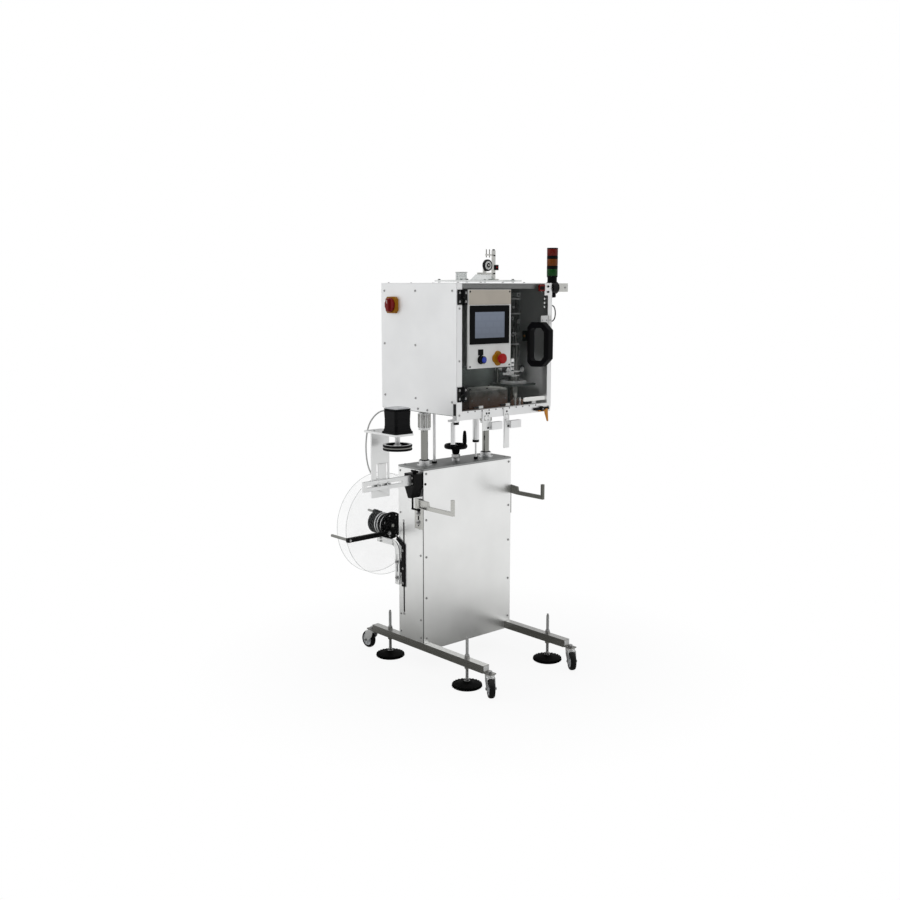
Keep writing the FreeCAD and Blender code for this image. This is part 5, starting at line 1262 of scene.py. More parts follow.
@dataclass
class FilmReel:
    """The reel behind the cabinet: slide bar, bracket, bearing, hub, clear flanges and dancer."""

    hub: tuple[float, float] = (-203, 570)
    hub_radius: float = 46
    near: float = 298
    width: float = 60
    flange: float = 3
    radius: float = 220
    pivot: Point = (-240, 249, 545)
    length: float = 205
    bar: float = 18

    def build(self) -> None:
        """Builds the reel unit."""
        dress("reel_slide_bar", Finish.BLACK_METAL, 0.8)
        dress("reel_bracket", Finish.PLATE, 1)
        dress("reel_bearing_plate", Finish.BLACK_METAL, 1.2)
        self.fixings()
        self.drum()
        self.rims()
        self.dancer()

    def fixings(self) -> None:
        """Adds the bolts in the slots and round the bearing."""
        mesher = Mesher(Finish.BLACK_METAL)
        x = -262.4
        for z in (372, 440):
            mesher.ring(3.5, 11, 1.8, (x, 160, z), LEFT, finish=Finish.SCREW)
            mesher.cap_screw((x - 1.6, 160, z), LEFT, 5.2)
        for z in (352, 415, 492):
            mesher.button_screw((-256.2, 128.5, z), LEFT, 4)
        for z in (511, 524):
            mesher.cap_screw((-262.4, 268, z), LEFT, 3.8)
        hx, hz = self.hub
        for u, v in around(8, 48, math.pi / 8):
            mesher.cap_screw((hx + u, 262.2, hz + v), FRONT, 3.4)
        mesher.ring(8.6, 20, 4, (hx, 262.2, hz), FRONT, 1)
        mesher.piece("reel_carriage_fixings", "reel_carriage")

    def drum(self) -> None:
        """Builds the black drum with bright clamp rings, the spindle's end nut and the locking pin."""
        hx, hz = self.hub
        at = (hx, 0, hz)
        r = self.hub_radius
        y0 = self.near
        y1 = y0 + self.flange
        y2 = y1 + self.width
        y3 = y2 + self.flange
        mesher = Mesher(Finish.BLACK_PLASTIC)
        body = [(0, y1), (r - 2, y1), (r, y1 + 1.5), (r, y1 + 6), (r - 5, y1 + 7), (r - 5, y1 + 31),
                (r, y1 + 32), (r, y2 - 1.5), (r - 2, y2), (0, y2)]
        mesher.lathe(body, at, BACK, 72)
        mesher.lathe([(0, -23.5), (16, -23.5), (16, -10), (r + 1, -10), (r + 3, -8.5), (r + 3, -1.2),
                      (r + 1, 0), (0, 0)], (hx, y0, hz), BACK, 72)
        mesher.lathe([(0, 0), (r + 1, 0), (r + 3, 1.2), (r + 3, 8.5), (r + 1, 10), (16, 10), (13, 16),
                      (0, 16.5)], (hx, y3, hz), BACK, 72)
        pin = (hx, y3, hz + r - 4)
        mesher.lathe([(0, 4), (11, 4), (11, 23.5), (9.5, 25), (0, 25)], pin, BACK, 40)
        mesher.piece("reel_drum", "reel", ["reel_hub"])
        bright = Mesher(Finish.CHROME)
        for y in (y1 + 8.5, y1 + 25):
            bright.ring(r - 3, r + 0.8, 5, (hx, y, hz), BACK, 0.5, 72, finish=Finish.SECTION)
        bright.ring(r - 10, r + 2.8, 4, (hx, y0 - 14.2, hz), BACK, 0.5, 72, finish=Finish.SECTION)
        bright.lathe([(0, 258.2), (6.8, 258.2), (8, 259.4), (8, y0 - 22), (0, y0 - 22)], at, BACK, 40)
        bright.lathe([(0, 15), (8, 15), (8, 46), (6.8, 47.8), (0, 47.8)], (hx, y3, hz), BACK, 40)
        bright.lathe([(0, 24), (5, 24), (5, 66), (4, 67.8), (0, 67.8)], pin, BACK, 32)
        bright.hex_head((hx, y3 + 16, hz), BACK, 22, 9)
        for u, v in around(3, 30, 0.5):
            bright.cap_screw((hx + u, y3 + 9.8, hz + v), BACK, 4.2)
        bright.piece("reel_bright_parts", "reel")

    def rims(self) -> None:
        """Builds the two clear flanges with polished edges."""
        mesher = Mesher(Finish.CLEAR)
        hx, hz = self.hub
        inner, outer = self.hub_radius - 16, self.radius
        for y in (self.near, self.near + self.flange + self.width):
            mesher.ring(inner, outer - 1.8, self.flange, (hx, y, hz), BACK, 0.3, 256)
            mesher.ring(outer - 1.8, outer, self.flange, (hx, y, hz), BACK, 0.3, 256, finish=Finish.CLEAR_RIM)
        mesher.piece("reel_flanges_dressed", "reel", ["reel_flanges"])

    def dancer(self) -> None:
        """Builds the dancer's square bar with its pivot cap and the chrome roller with end rings."""
        x, y, z = self.pivot
        h = self.bar / 2
        mesher = Mesher(Finish.BLACK_METAL)
        mesher.box((x - self.length - h, y - h, z - h), (x + h, y + h, z + h))
        mesher.piece("dancer_bar", "dancer", ["dancer_arm"], bevel=1.4, segments=3)
        trim = Mesher(Finish.SCREW)
        trim.disc(8, 4, (x, y + h - 0.2, z), BACK, 0.6)
        trim.hex_head((x, y - h, z), FRONT, 12, 6)
        end = x - self.length
        trim.hex_head((end, y - h, z), FRONT, 9, 5)
        trim.disc(3, 113.5, (end, y + h - 0.2, z), BACK, 0.6, 24)
        trim.piece("dancer_trim", "dancer")
        roller = Mesher(Finish.CHROME)
        roller.lathe([(3.05, y + h + 0.3), (5.2, y + h + 0.3), (6, y + h + 1.2), (6, 369), (5.2, 369.9),
                      (3.05, 369.9)], (end, 0, z), BACK, 40, closed=True)
        roller.piece("dancer_roller_dressed", "film_roller", ["dancer_roller"])


@dataclass
class Head:
    """The boxed head: panels, front frame, main switch, rear grilles and the parts under its floor."""

    half_width: float = 265.5
    front: float = -215
    rear: float = 246
    top: float = 1598
    switch: tuple[float, float] = (167.5, 1510)
    side_screws: tuple[tuple[float, float], ...] = (
        (29, 1567), (29, 1353), (29, 1141), (15, 1099), (-43, 1098), (-190, 1567), (225, 1567), (225, 1353),
        (225, 1141), (-190, 1141))

    def build(self) -> None:
        """Builds the head."""
        # The switch plate takes the darker yellow as painted shade.
        plate = Zone((-280, 130, 1470), (-265.52, 205, 1550), Finish.YELLOW_PAINTED_SHADE)
        dress("head_side_panels", Finish.PANEL_FLAT, 0.8, [plate])
        dress("head_rear_cover", Finish.PANEL_FLAT, 0.9)
        arm = Zone((266.5, -216, 1550), (362, -170, 1600), Finish.HOOK)
        dress("door_frame", Finish.SECTION, 1.2, [arm])
        self.screws()
        self.rear_side()
        self.knob()
        self.corner()
        self.underside()

    def screws(self) -> None:
        """Adds the screws of the side panels, the top and the front frame."""
        mesher = Mesher()
        for (y, z), side in product(self.side_screws, (-1, 1)):
            mesher.button_screw((side * self.half_width, y, z), (side, 0, 0), 4)
        for x, y in product((-240, -120, 0, 120, 235), (-195, 228)):
            if (x, y) != (235, -195):
                mesher.button_screw((x, y, self.top), UP, 4)
        for x, z in ((-250, 1090), (250, 1090), (-250, 1300), (252.5, 1300), (-250, 1500), (252.5, 1420)):
            mesher.button_screw((x, self.front, z), FRONT, 3.6)
        mesher.piece("head_screws", "head")

    def rear_side(self) -> None:
        """Adds two filter grilles, the cable inlets and the screws of the rear cover."""
        mesher = Mesher(Finish.BLACK_PLASTIC)
        for cx in (-130, 130):
            cz, half = 1360, 62
            mesher.box((cx - half, self.rear, cz - half), (cx + half, self.rear + 6, cz + half))
            for i in range(9):
                z = cz - 48 + i * 12
                outline = [(cx - 52, self.rear + 6, z - 4), (cx - 52, self.rear + 10.5, z - 4),
                           (cx - 52, self.rear + 6, z + 4)]
                mesher.hull(outline, [(a + 104, b, c) for a, b, c in outline])
        mesher.piece("rear_grilles", "head", bevel=0.8)
        glands = Mesher(Finish.BLACK_PLASTIC)
        for i in range(4):
            place = (-75 + i * 50, self.rear, 1135)
            glands.lathe([(0, 0), (12.5, 0, 6), (12.5, 5, 6), (9.8, 6.5), (9.5, 14), (7.2, 20), (4, 20.5),
                          (3.8, 12), (0, 12)], place, BACK, 36)
        glands.piece("rear_cable_inlets", "head")
        screws = Mesher()
        for x, z in product((-245, -80, 80, 245), (1105, 1345, 1580)):
            if abs(x) > 200 or z != 1345:
                screws.button_screw((x, self.rear, z), BACK, 4)
        screws.piece("rear_cover_screws", "head")

    def knob(self) -> None:
        """Builds the red main switch: a skirted base with finger notches and a bar grip."""
        y, z = self.switch
        x = -self.half_width - 14.3
        # The knob takes the darker red as painted shade.
        mesher = Mesher(Finish.RED_PAINTED_SHADE)
        reaches = [28.8 - 1.4 * max(0, math.cos(12 * 2 * math.pi * i / 96)) ** 2 for i in range(96)]
        rings = [[(x - depth, y + r * u, z + r * v) for r, (u, v) in zip(reaches, around(96, scale))]
                 for depth, scale in ((0, 1), (7, 0.985), (10, 0.93))]
        for near, far in zip(rings, rings[1:]):
            mesher.hull(near, far)
        grip = [(-8, -26), (8, -26), (10, 0), (8, 26), (-8, 26), (-10, 0)]
        mesher.hull([(x - 9.5, y + a, z + b) for a, b in grip],
                    [(x - 19.4, y + a * 0.75, z + b * 0.93) for a, b in grip])
        mesher.piece("main_switch_dressed", "switch_knob", ["main_switch_knob"], bevel=1, segments=3)
        mark = Mesher(Finish.WHITE_PLASTIC)
        mark.box((x - 19.7, y - 1.2, z + 6), (x - 19, y + 1.2, z + 21))
        mark.piece("main_switch_mark", "switch_knob")

    def corner(self) -> None:
        """Adds the corner plate's bolts, the accessory arm's fittings and the post's cable loop."""
        mesher = Mesher(Finish.BLACK_METAL)
        y = self.front
        for z in (1562, 1584):
            mesher.cap_screw((240.5, y, z), FRONT, 4.2, Finish.BLACK_METAL)
        for x in (300, 345):
            mesher.button_screw((x, y, 1579.5), FRONT, 4)
        mesher.box((-270, -212.5, 1090), (-265.7, -201.5, 1135))
        mesher.piece("corner_bolts", "head")
        cap = Mesher(Finish.BLACK_PLASTIC)
        cap.box((361.2, y + 1.2, 1563.7), (361.4, y + 33.8, 1595.3))
        cap.piece("arm_end_cap", "head")
        knob = Mesher(Finish.BLACK_PLASTIC)
        profile = [(0, 0), (6, 0), (6, 6), (13.5, 8), (15, 11), (15, 20), (13, 23), (0, 24)]
        knob.lathe(profile, (285, y + 17.5, 1562), DOWN, 36)
        knob.piece("arm_clamp_knob", "head", sharp=40)
        sleeve = Mesher(Finish.BLACK_METAL)
        sleeve.ring(24.9, 26.4, 34, (267, y + 17.5, 1579.5), RIGHT, 1.2)
        sleeve.piece("arm_sleeve", "head")
        loop = [(265.5, -208.5, 1506), (276, -208.5, 1507), (289, -208, 1498), (296, -207, 1476),
                (291, -208, 1453), (278, -208.5, 1442), (265.5, -208.5, 1440)]
        curve_piece("post_cable_loop", loop, 2.4, Finish.BLACK_PLASTIC, "head")

    def underside(self) -> None:
        """Dresses the hanging brackets, and adds their fixings, the guide tube and the latch."""
        sensors = [Zone((-94, -240, 1000), (-20, -214.8, 1060), Finish.SECTION),
                   Zone((13, -240, 1000), (90, -214.8, 1060), Finish.SECTION)]
        dress("sensor_brackets", Finish.PLATE, 0.7, sensors)
        mesher = Mesher(Finish.BEZEL)
        front = self.front
        for x, z in ((-108, 1088), (-95, 1088), (4, 1088), (-100, 1030), (12, 1028)):
            mesher.button_screw((x, front - 4, z), FRONT, 3.4, Finish.BLACK_METAL)
        for x in (-62, 52):
            mesher.disc(5.5, 2.2, (x, front - 14.2, 1036), FRONT, 0.6, 32)
            mesher.button_screw((x - 18, front - 14, 1036), FRONT, 2.6, Finish.BLACK_METAL)
        for i in range(11):
            mesher.button_screw((-205 + i * 38, front, 1100.5), FRONT, 2.2, Finish.BLACK_METAL)
        for x in (-178, -30, 120):
            mesher.box((x, front - 6, 1112), (x + 26, front - 0.2, 1119), Finish.BLACK_METAL)
            mesher.box((x + 28, front - 5.2, 1110), (x + 50, front - 0.2, 1120), Finish.WHITE_PLASTIC)
        mesher.piece("sensor_fixings", "head")
        tube = Mesher(Finish.SECTION)
        x, y = -250, -178
        tube.box((x - 13, y - 24, 1062), (x + 13, y + 16, 1069.8))
        tube.box((x - 6, y - 22, 1052), (x + 12, y - 10, 1062.2), Finish.BLACK_PLASTIC)
        tube.ring(7, 9, 90, (x, y, 968), UP, 0.8)
        tube.ring(6.8, 10.5, 8, (x, y, 966), UP, 1, finish=Finish.BLACK_PLASTIC)
        tube.piece("guide_tube", "head", bevel=0.6)
        self.latch()

    def latch(self) -> None:
        """Builds the latch: black bar and hub with a pointed amber lever."""
        x, y, z = 205, -223.3, 1084
        mesher = Mesher(Finish.BLACK_METAL)
        bar = [(x - 44, y, z - 4), (x - 40, y, z - 5.8), (x + 40, y, z - 5.8), (x + 44, y, z - 3),
               (x + 44, y, z + 3), (x + 40, y, z + 5.8), (x - 40, y, z + 5.8), (x - 44, y, z + 4)]
        mesher.hull(bar, [(a, b + 7.8, c) for a, b, c in bar])
        mesher.lathe([(0, 0.2), (10.8, 0.2), (10.8, 9), (9.2, 11.8), (0, 12)], (x, -215.3, z), FRONT, 36)
        mesher.piece("latch_bar", "latch", ["latch_lever"], bevel=1.2)
        tip = x + 28
        lever = Mesher(Finish.AMBER)
        outline = [(tip - 7, z - 1), (tip + 7, z - 1), (tip + 8.5, z - 16), (tip + 11.8, z - 55.5),
                   (tip + 7.5, z - 55.5), (tip - 7.5, z - 18)]
        lever.hull([(a, y - 0.4, b) for a, b in outline], [(a, y + 7.2, b) for a, b in outline])
        lever.box((tip - 46, y - 0.2, z - 11.2), (tip + 4, y + 6.8, z - 5))
        lever.piece("latch_amber_lever", "latch", bevel=1.6, segments=3)
        screw = Mesher()
        screw.cap_screw((x, -227, z), FRONT, 3.2)
        screw.piece("latch_screw", "latch")


@dataclass
class SleeveMechanism:
    """What shows through the door: plates, mandrel, rollers, rotary cutter, belt drive, duct and wiring."""

    sleeve: tuple[float, float] = (165, -95)
    roller_radius: float = 18
    roller_z: float = 1240
    roller_reach: float = 40.3
    plate_front: float = -30
    deck_top: float = 1184
    rotor_radius: float = 55

    def build(self) -> None:
        """Builds the mechanism."""
        motors = [Zone((85, -17.9, 1204), (245, 55, 1276), Finish.BLACK_METAL),
                  Zone((180, -17.9, 1110), (252, 65, 1200), Finish.BLACK_METAL),
                  Zone((-152, -167, 1094.5), (62, -58, 1180), Finish.COPPER_TRAY)]
        dress("mechanism_frame", Finish.MECHANISM, 1, motors)
        dress("mandrel", Finish.CHROME, 1)
        self.rollers()
        self.cutter()
        self.drive()
        self.guides()
        self.wiring()

    def rollers(self) -> None:
        """Builds the two rubber feed rollers with bright cheeks and their shafts."""
        x0, y = self.sleeve
        for side, name in ((-1, "left"), (1, "right")):
            x = x0 + side * self.roller_reach
            at = (x, 0, self.roller_z)
            mesher = Mesher(Finish.RUBBER)
            r = self.roller_radius
            tread = [(11.8, y - 10.5), (r - 0.8, y - 10.5), (r, y - 9.8), (r, y - 1.8), (r - 1.4, y - 1)]
            mesher.lathe(mirrored(tread, y), at, BACK, 64, closed=True)
            core = [(0, y - 15), (4.8, y - 15), (6, y - 13.8), (6, y - 11.2), (12, y - 11), (12, y + 11),
                    (6, y + 11.2), (6, -10.2), (0, -10.2)]
            mesher.lathe(core, at, BACK, 40, finish=Finish.SECTION)
            mesher.piece("feed_roller_dressed_" + name, "feed_" + name, ["feed_roller_" + name])

    def cutter(self) -> None:
        """Builds the rotary cutter: a toothed ring with three clamped knives."""
        x, y = self.sleeve
        z = self.deck_top + 0.3
        mesher = Mesher(Finish.KNIFE)
        teeth = [self.rotor_radius - 1.4 * (i % 2) for i in range(180)]
        bore = [30] * len(teeth)
        rings = [[mesher.vert((x + r * u, y + r * v, height)) for r, (u, v) in zip(radii, around(len(teeth)))]
                 for radii, height in ((teeth, z), (teeth, z + 10), (bore, z + 10), (bore, z))]
        for ring, after in zip(rings, rings[1:] + rings[:1]):
            mesher.skin(loops_between(ring, after), Finish.SECTION)
        for c, d in around(3):
            for outline, low, high in (([(26.2, -7), (49, -7), (49, 7), (26.2, 7)], 1, 15),
                                       ([(25.8, -3.5), (40, -4.5), (40, 4.5), (25.8, 2.5)], 15, 17.2)):
                mesher.hull(*[[(x + c * u - d * v, y + d * u + c * v, z + h) for u, v in outline]
                              for h in (low, high)])
            mesher.cap_screw((x + c * 44, y + d * 44, z + 15), UP, 3, Finish.BLACK_METAL)
        mesher.piece("cutter_dressed", "cutter", ["cutter_rotor"], bevel=0.3, segments=1)

    def drive(self) -> None:
        """Adds the belt pulleys on the plate, a driver box with fins and the mechanism's screws."""
        y = self.plate_front
        mesher = Mesher(Finish.SECTION)
        for z, r in ((1180, 22), (1236, 14)):
            profile = [(0, 0), (r + 2.5, 0), (r + 2.5, 1.5), (r, 2), (r, 12), (r + 2.5, 12.5), (r + 2.5, 14),
                       (6, 14), (5, 16), (0, 16)]
            mesher.lathe(profile, (-205, y, z), FRONT, 48)
        mesher.piece("belt_pulleys", "head")
        fins = Mesher(Finish.BLACK_METAL)
        fins.box((16, y - 20, 1415), (86, y, 1530))
        for i in range(9):
            x = 18.5 + i * 7.8
            fins.box((x, y - 30, 1418), (x + 2.8, y - 19, 1527))
        fins.piece("drive_heat_sink", "head", bevel=0.5)
        screws = Mesher()
        for x in (-138, -45, 48):
            for y0 in (-155, -70):
                screws.button_screw((x, y0, 1178), UP, 3.6, Finish.BLACK_METAL)
            screws.button_screw((x, -165, 1135), FRONT, 3.6)
        for x, y0 in product((100, 230), (-147, -45)):
            screws.cap_screw((x, y0, self.deck_top), UP, 3.6)
        for x, z in product((-245, 245), (1150, 1340, 1540)):
            screws.cap_screw((x, y, z), FRONT, 4)
        screws.piece("mechanism_screws", "head")

    def guides(self) -> None:
        """Adds the guide rods with their blocks and arms, the film clips, a white bar with a painted glow and
        terminals.
        """
        x0, y = self.sleeve
        mesher = Mesher(Finish.CHROME)
        for x in (x0 - 52, x0 + 56):
            mesher.lathe([(0, 1184), (5, 1184), (5, 1548.5), (4, 1550), (0, 1550)], (x, -52, 0), UP, 32)
            for z in (1300, 1430, 1540):
                mesher.box((x - 11, -66, z), (x + 11, -30, z + 18), Finish.SECTION)
                mesher.cap_screw((x, -66, z + 9), FRONT, 3, Finish.BLACK_METAL)
        mesher.piece("guide_columns", "head", bevel=0.8)
        arms = Mesher(Finish.PLATE)
        for z in (1305, 1435):
            arms.box((x0 - 52, y + 25.5, z), (x0 + 56, y + 32.5, z + 10))
        arms.box((x0 + 30, y - 45, 1360), (x0 + 56, y - 20, 1402), Finish.BLACK_PLASTIC)
        arms.box((x0 + 56, y - 40, 1370), (x0 + 62, y + 50, 1392))
        arms.disc(5, 2, (x0 + 30, y - 33, 1381), LEFT, 0.5, 24, finish=Finish.AMBER)
        arms.piece("film_guides", "head", bevel=0.6)
        clips = Mesher(Finish.SECTION)
        clips.box((x0 - 112, y - 52, 1226), (x0 - 50, y - 49, 1236))
        clips.box((x0 - 70, y - 53, 1230), (x0 - 50, y - 49, 1290))
        for z in (1240, 1256, 1272):
            clips.box((x0 - 66, y - 53.5, z), (x0 - 52, y - 52.5, z + 5), Finish.BLACK_PLASTIC)
        for x, z, r in ((52, 1390, 8.5), (40, 1392, 6), (56, 1455, 6.5), (50, 1500, 5)):
            clips.ring(r - 2.2, r, 4, (x0 - x, y - 45, z), FRONT, 0.8, 32)
        for z in (1215, 1232, 1345, 1470, 1530):
            clips.ring(26.2, 28.2, 6, (x0, y, z), UP, 0.8, 48)
        clips.piece("film_clips", "head", bevel=0.4)
        # The white bar glows as painted light; it is no lamp.
        lamp = Mesher(Finish.WHITE_BAR_PAINTED_GLOW)
        lamp.box((120, -208, 1118), (236.5, -198, 1133.5))
        lamp.piece("lower_white_bar", "head", bevel=1.2)
        small = Mesher(Finish.SECTION)
        for i in range(5):
            x = 66 + i * 13
            small.box((x, -190, 1096), (x + 8, -178, 1126 + 8 * (i % 2)),
                      Finish.SECTION if i % 2 else Finish.COPPER_TRAY)
        small.box((58, -194, 1094.2), (134, -174, 1097.2))
        small.piece("terminal_row", "head", bevel=0.6)

    def wiring(self) -> None:
        """Adds the slotted wiring duct and a row of valves."""
        y = self.plate_front
        mesher = Mesher(Finish.HUB_GREY)
        mesher.box((-240, y - 30, 1530), (100, y, 1558.5))
        for i in range(40):
            x = -237 + i * 8.5
            if x < 94:
                mesher.box((x, y - 30.6, 1532), (x + 3, y - 29.8, 1551), Finish.BLACK_PLASTIC)
        mesher.piece("wiring_duct", "head", bevel=0.4)
        valves = Mesher(Finish.SECTION)
        valves.box((-245, y - 12, 1118), (-175, y, 1150))
        for i in range(4):
            x = -243 + i * 17.5
            valves.box((x, y - 44, 1122), (x + 14, y - 12, 1146), Finish.BLACK_PLASTIC)
            valves.disc(3.2, 3, (x + 7, y - 44, 1134), FRONT, 0.6, 20, finish=Finish.BLUE)
        valves.piece("valve_row", "head", bevel=0.6)


@dataclass
class Door:
    """The clear door with its hinges, operator box, buttons, handle and small white trim."""

    front: float = -215
    hinge: tuple[float, float] = (-237, -224)
    hinge_low: tuple[float, ...] = (1142, 1514)
    hinge_height: float = 58
    face: tuple[float, float, float, float] = (-212, 17, 1268, 1572)
    face_front: float = -225
    screen: tuple[float, float, float, float] = (-207, 5, 1362, 1511)
    stop: tuple[float, float] = (-56, 1304)
    start: tuple[float, float] = (-148, 1302)

    def build(self) -> None:
        """Builds the door."""
        dress("door_panel", Finish.SMOKED, 0.6)
        self.hinges()
        self.operator_face()
        self.touch_screen()
        self.buttons()
        self.handle()
        self.trim()

    def hinges(self) -> None:
        """Builds black hinge leaves on both sides, with knuckles, pin ends and light screws."""
        x, y = self.hinge
        h = self.hinge_height
        fixed, moving = Mesher(Finish.BLACK_METAL), Mesher(Finish.BLACK_METAL)
        for z in self.hinge_low:
            middle = z + h / 2
            for mesher, side, low, high in ((fixed, -1, middle + 0.3, z + h), (moving, 1, z, middle - 0.3)):
                near, far = sorted((x + side * 6.6, x + side * 23))
                mesher.box((near, self.front - 5.2, z), (far, self.front - 0.1, z + h))
                near, far = sorted((x + side, x + side * 7.5))
                mesher.box((near, self.front - 9.5, low), (far, self.front - 0.4, high))
                profile = [(3.2, low), (5.2, low), (6, low + 0.8), (6, high - 0.8), (5.2, high), (3.2, high)]
                mesher.lathe(profile, (x, y, 0), UP, 32, closed=True)
                for dz in (12.5, h - 12.5):
                    mesher.button_screw((x + side * 15.5, self.front - 5.2, z + dz), FRONT, 3.6)
            fixed.lathe([(0, z + 1.5), (3, z + 2.2), (3, z + h - 1.5), (0, z + h - 0.5)], (x, y, 0), UP, 24,
                        finish=Finish.SCREW)
        fixed.piece("hinge_frame_leaves", "head", ["door_hinges"], bevel=0.7)
        moving.piece("hinge_door_leaves", "door", bevel=0.7)

    def operator_face(self) -> None:
        """Builds the operator box: face with its plain band, body, corner screws and the button's legend."""
        x0, x1, z0, z1 = self.face
        shell = Mesher(Finish.WHITE_FACE)
        shell.box((x0, self.face_front, z0), (x1, self.front, z1))
        shell.box((x0 + 8, self.front - 1, z0 + 8), (x1 - 8, self.front + 55, z1 - 8), Finish.SECTION)
        shell.piece("operator_box", "door", ["hmi_housing"], bevel=1.2, segments=3)
        band = Mesher(Finish.FACE_BAND)
        band.box((x0 + 1.5, self.face_front - 0.4, 1514), (x1 - 1.5, self.face_front, z1 - 1.5))
        band.piece("operator_band", "door")
        mesher = Mesher()
        for x, z in product((x0 + 8, x1 - 8), (z0 + 8, z1 - 8)):
            mesher.button_screw((x, self.face_front, z), FRONT, 3, Finish.BLACK_METAL)
        mesher.piece("operator_face_screws", "door")
        legend = Mesher(Finish.BEZEL)
        sx, sz = self.start
        legend.box((sx - 14, self.face_front - 1.2, sz + 17), (sx + 14, self.face_front, sz + 40))
        legend.piece("button_legend", "door", bevel=0.4)
        box = Mesher(Finish.HUB_GREY)
        box.box((x0 + 30, self.front + 55.2, z0 + 30), (x1 - 30, self.front + 58, z1 - 30))
        for i in range(6):
            x = x0 + 50 + i * 26
            box.lathe([(0, 0), (8.5, 0, 6), (8.5, 5, 6), (6.5, 8), (6, 14), (0, 14.5)],
                      (x, self.front + 40, z0 + 8.2), DOWN, 24, finish=Finish.BLACK_PLASTIC)
        box.piece("operator_box_back", "door", bevel=0.8)

    def touch_screen(self) -> None:
        """Builds the screen: a soft-edged black bezel with the glass set in it."""
        x0, x1, z0, z1 = self.screen
        y = self.face_front
        mesher = Mesher(Finish.BEZEL)
        outline = [(0, 0), (1, 0), (1, 1), (0, 1)]
        outer = [(x0 + (x1 - x0) * u, z0 + (z1 - z0) * v) for u, v in outline]
        inner = [((x0 + 26, x1 - 26)[u], (z0 + 23.5, z1 - 25)[v]) for u, v in outline]
        rings = [[mesher.vert((a, y - depth, b)) for a, b in ring]
                 for ring, depth in ((outer, 0), (outer, 4), (inner, 4), (inner, 2.2))]
        for near, far in zip(rings, rings[1:]):
            mesher.skin(loops_between(near, far))
        mesher.skin([rings[0]])
        mesher.skin([rings[-1]], Finish.SCREEN)
        mesher.piece("operator_screen", "door", ["touch_screen"], bevel=0.9, segments=3)

    def buttons(self) -> None:
        """Builds the lobed yellow guard, the red mushroom head, the blue cap and its black ring."""
        x, z = self.stop
        y = self.face_front
        guard = Mesher(Finish.YELLOW)
        lobes = [30 - 4.5 * (0.5 - 0.5 * math.cos(4 * 2 * math.pi * i / 120)) ** 2 for i in range(120)]
        outline = [(lobe * u, lobe * v) for lobe, (u, v) in zip(lobes, around(120))]
        guard.hull([(x + a, y + 0.2, z + b) for a, b in outline],
                   [(x + a * 0.94, y - 6.8, z + b * 0.94) for a, b in outline])
        guard.piece("stop_guard", "door", bevel=1)
        head = Mesher(Finish.RED)
        at = (x, y - 7, z)
        head.lathe([(0, 6), (10.5, 6), (11, 7.5), (18.5, 12.5), (20, 15.5), (20, 24), (19, 26.8), (16, 28.5),
                    (8, 28), (0, 27.8)], at, FRONT, 64)
        head.lathe([(0, -8.5), (8, -8.5), (8, 7), (0, 7)], at, FRONT, 32)
        head.piece("stop_head_dressed", "stop_head", ["estop_button"], sharp=50)
        sx, sz = self.start
        ring = Mesher(Finish.BLACK_PLASTIC)
        ring.ring(11.2, 14.6, 3.5, (sx, y - 17.2, sz), FRONT, 1)
        ring.ring(13.6, 17.2, 5, (sx, y, sz), FRONT, 1)
        ring.ring(11.2, 14.2, 16.5, (sx, y - 0.8, sz), FRONT, 0.8, finish=Finish.BLACK_METAL)
        ring.piece("start_ring", "door")
        cap = Mesher(Finish.BLUE)
        cap.lathe([(0, -10), (11, -10), (11, 3), (10, 4.4), (7, 4.9), (0, 5)], (sx, y - 20, sz), FRONT, 48)
        cap.piece("start_cap_dressed", "start_cap", ["start_button"], sharp=50)

    def handle(self) -> None:
        """Builds the black bridge handle: an eight-cornered loop that leans away from the door."""
        low, high, depth, lean, half = 1262, 1442, 80, 0.5, 15
        outer = [(0, low + 20), (14, low), (depth - 26, low), (depth, low + 32), (depth, high - 32),
                 (depth - 26, high), (14, high), (0, high - 20)]
        inner = [(10, low + 34), (17, low + 24), (depth - 29, low + 24), (depth - 18, low + 40),
                 (depth - 18, high - 40), (depth - 29, high - 24), (17, high - 24), (10, high - 34)]
        mesher = Mesher(Finish.BLACK_PLASTIC)
        rows = [[mesher.vert((135 + lean * d + side, self.front - 0.2 - d, z)) for d, z in ring]
                for ring, side in ((outer, -half), (outer, half), (inner, half), (inner, -half))]
        for near, far in zip(rows, rows[1:] + rows[:1]):
            mesher.skin(loops_between(near, far))
        mesher.piece("door_handle_dressed", "door", ["door_handle"], bevel=2.6, segments=3, sharp=26)

    def trim(self) -> None:
        """Adds the white latch plate, three white dots and the red interlock."""
        y = self.front
        plate = Mesher(Finish.WHITE_PLASTIC)
        plate.box((199, y - 3, 1428), (238, y - 0.2, 1466))
        for x in (206, 231):
            plate.button_screw((x, y - 3, 1447), FRONT, 2.8)
        for z in (1501, 1517.5, 1534):
            plate.disc(4.2, 2, (219, y - 0.1, z), FRONT, 0.8, 28)
        plate.piece("door_white_trim", "door", bevel=0.6)
        post = Mesher(Finish.WHITE_PLASTIC)
        post.box((244, y - 3, 1428), (260, y - 0.2, 1466))
        post.button_screw((252, y - 3, 1447), FRONT, 2.8)
        post.piece("post_white_plate", "head", bevel=0.6)
        # The interlock takes the darker red painted-shade finish.
        lock = Mesher(Finish.RED_PAINTED_SHADE)
        lock.box((183, y - 8, 1565), (215, y - 0.2, 1591.5))
        lock.box((184, y - 9.8, 1571), (210, y - 8.8, 1585), Finish.BLACK_PLASTIC)
        lock.piece("door_interlock", "door", bevel=1)


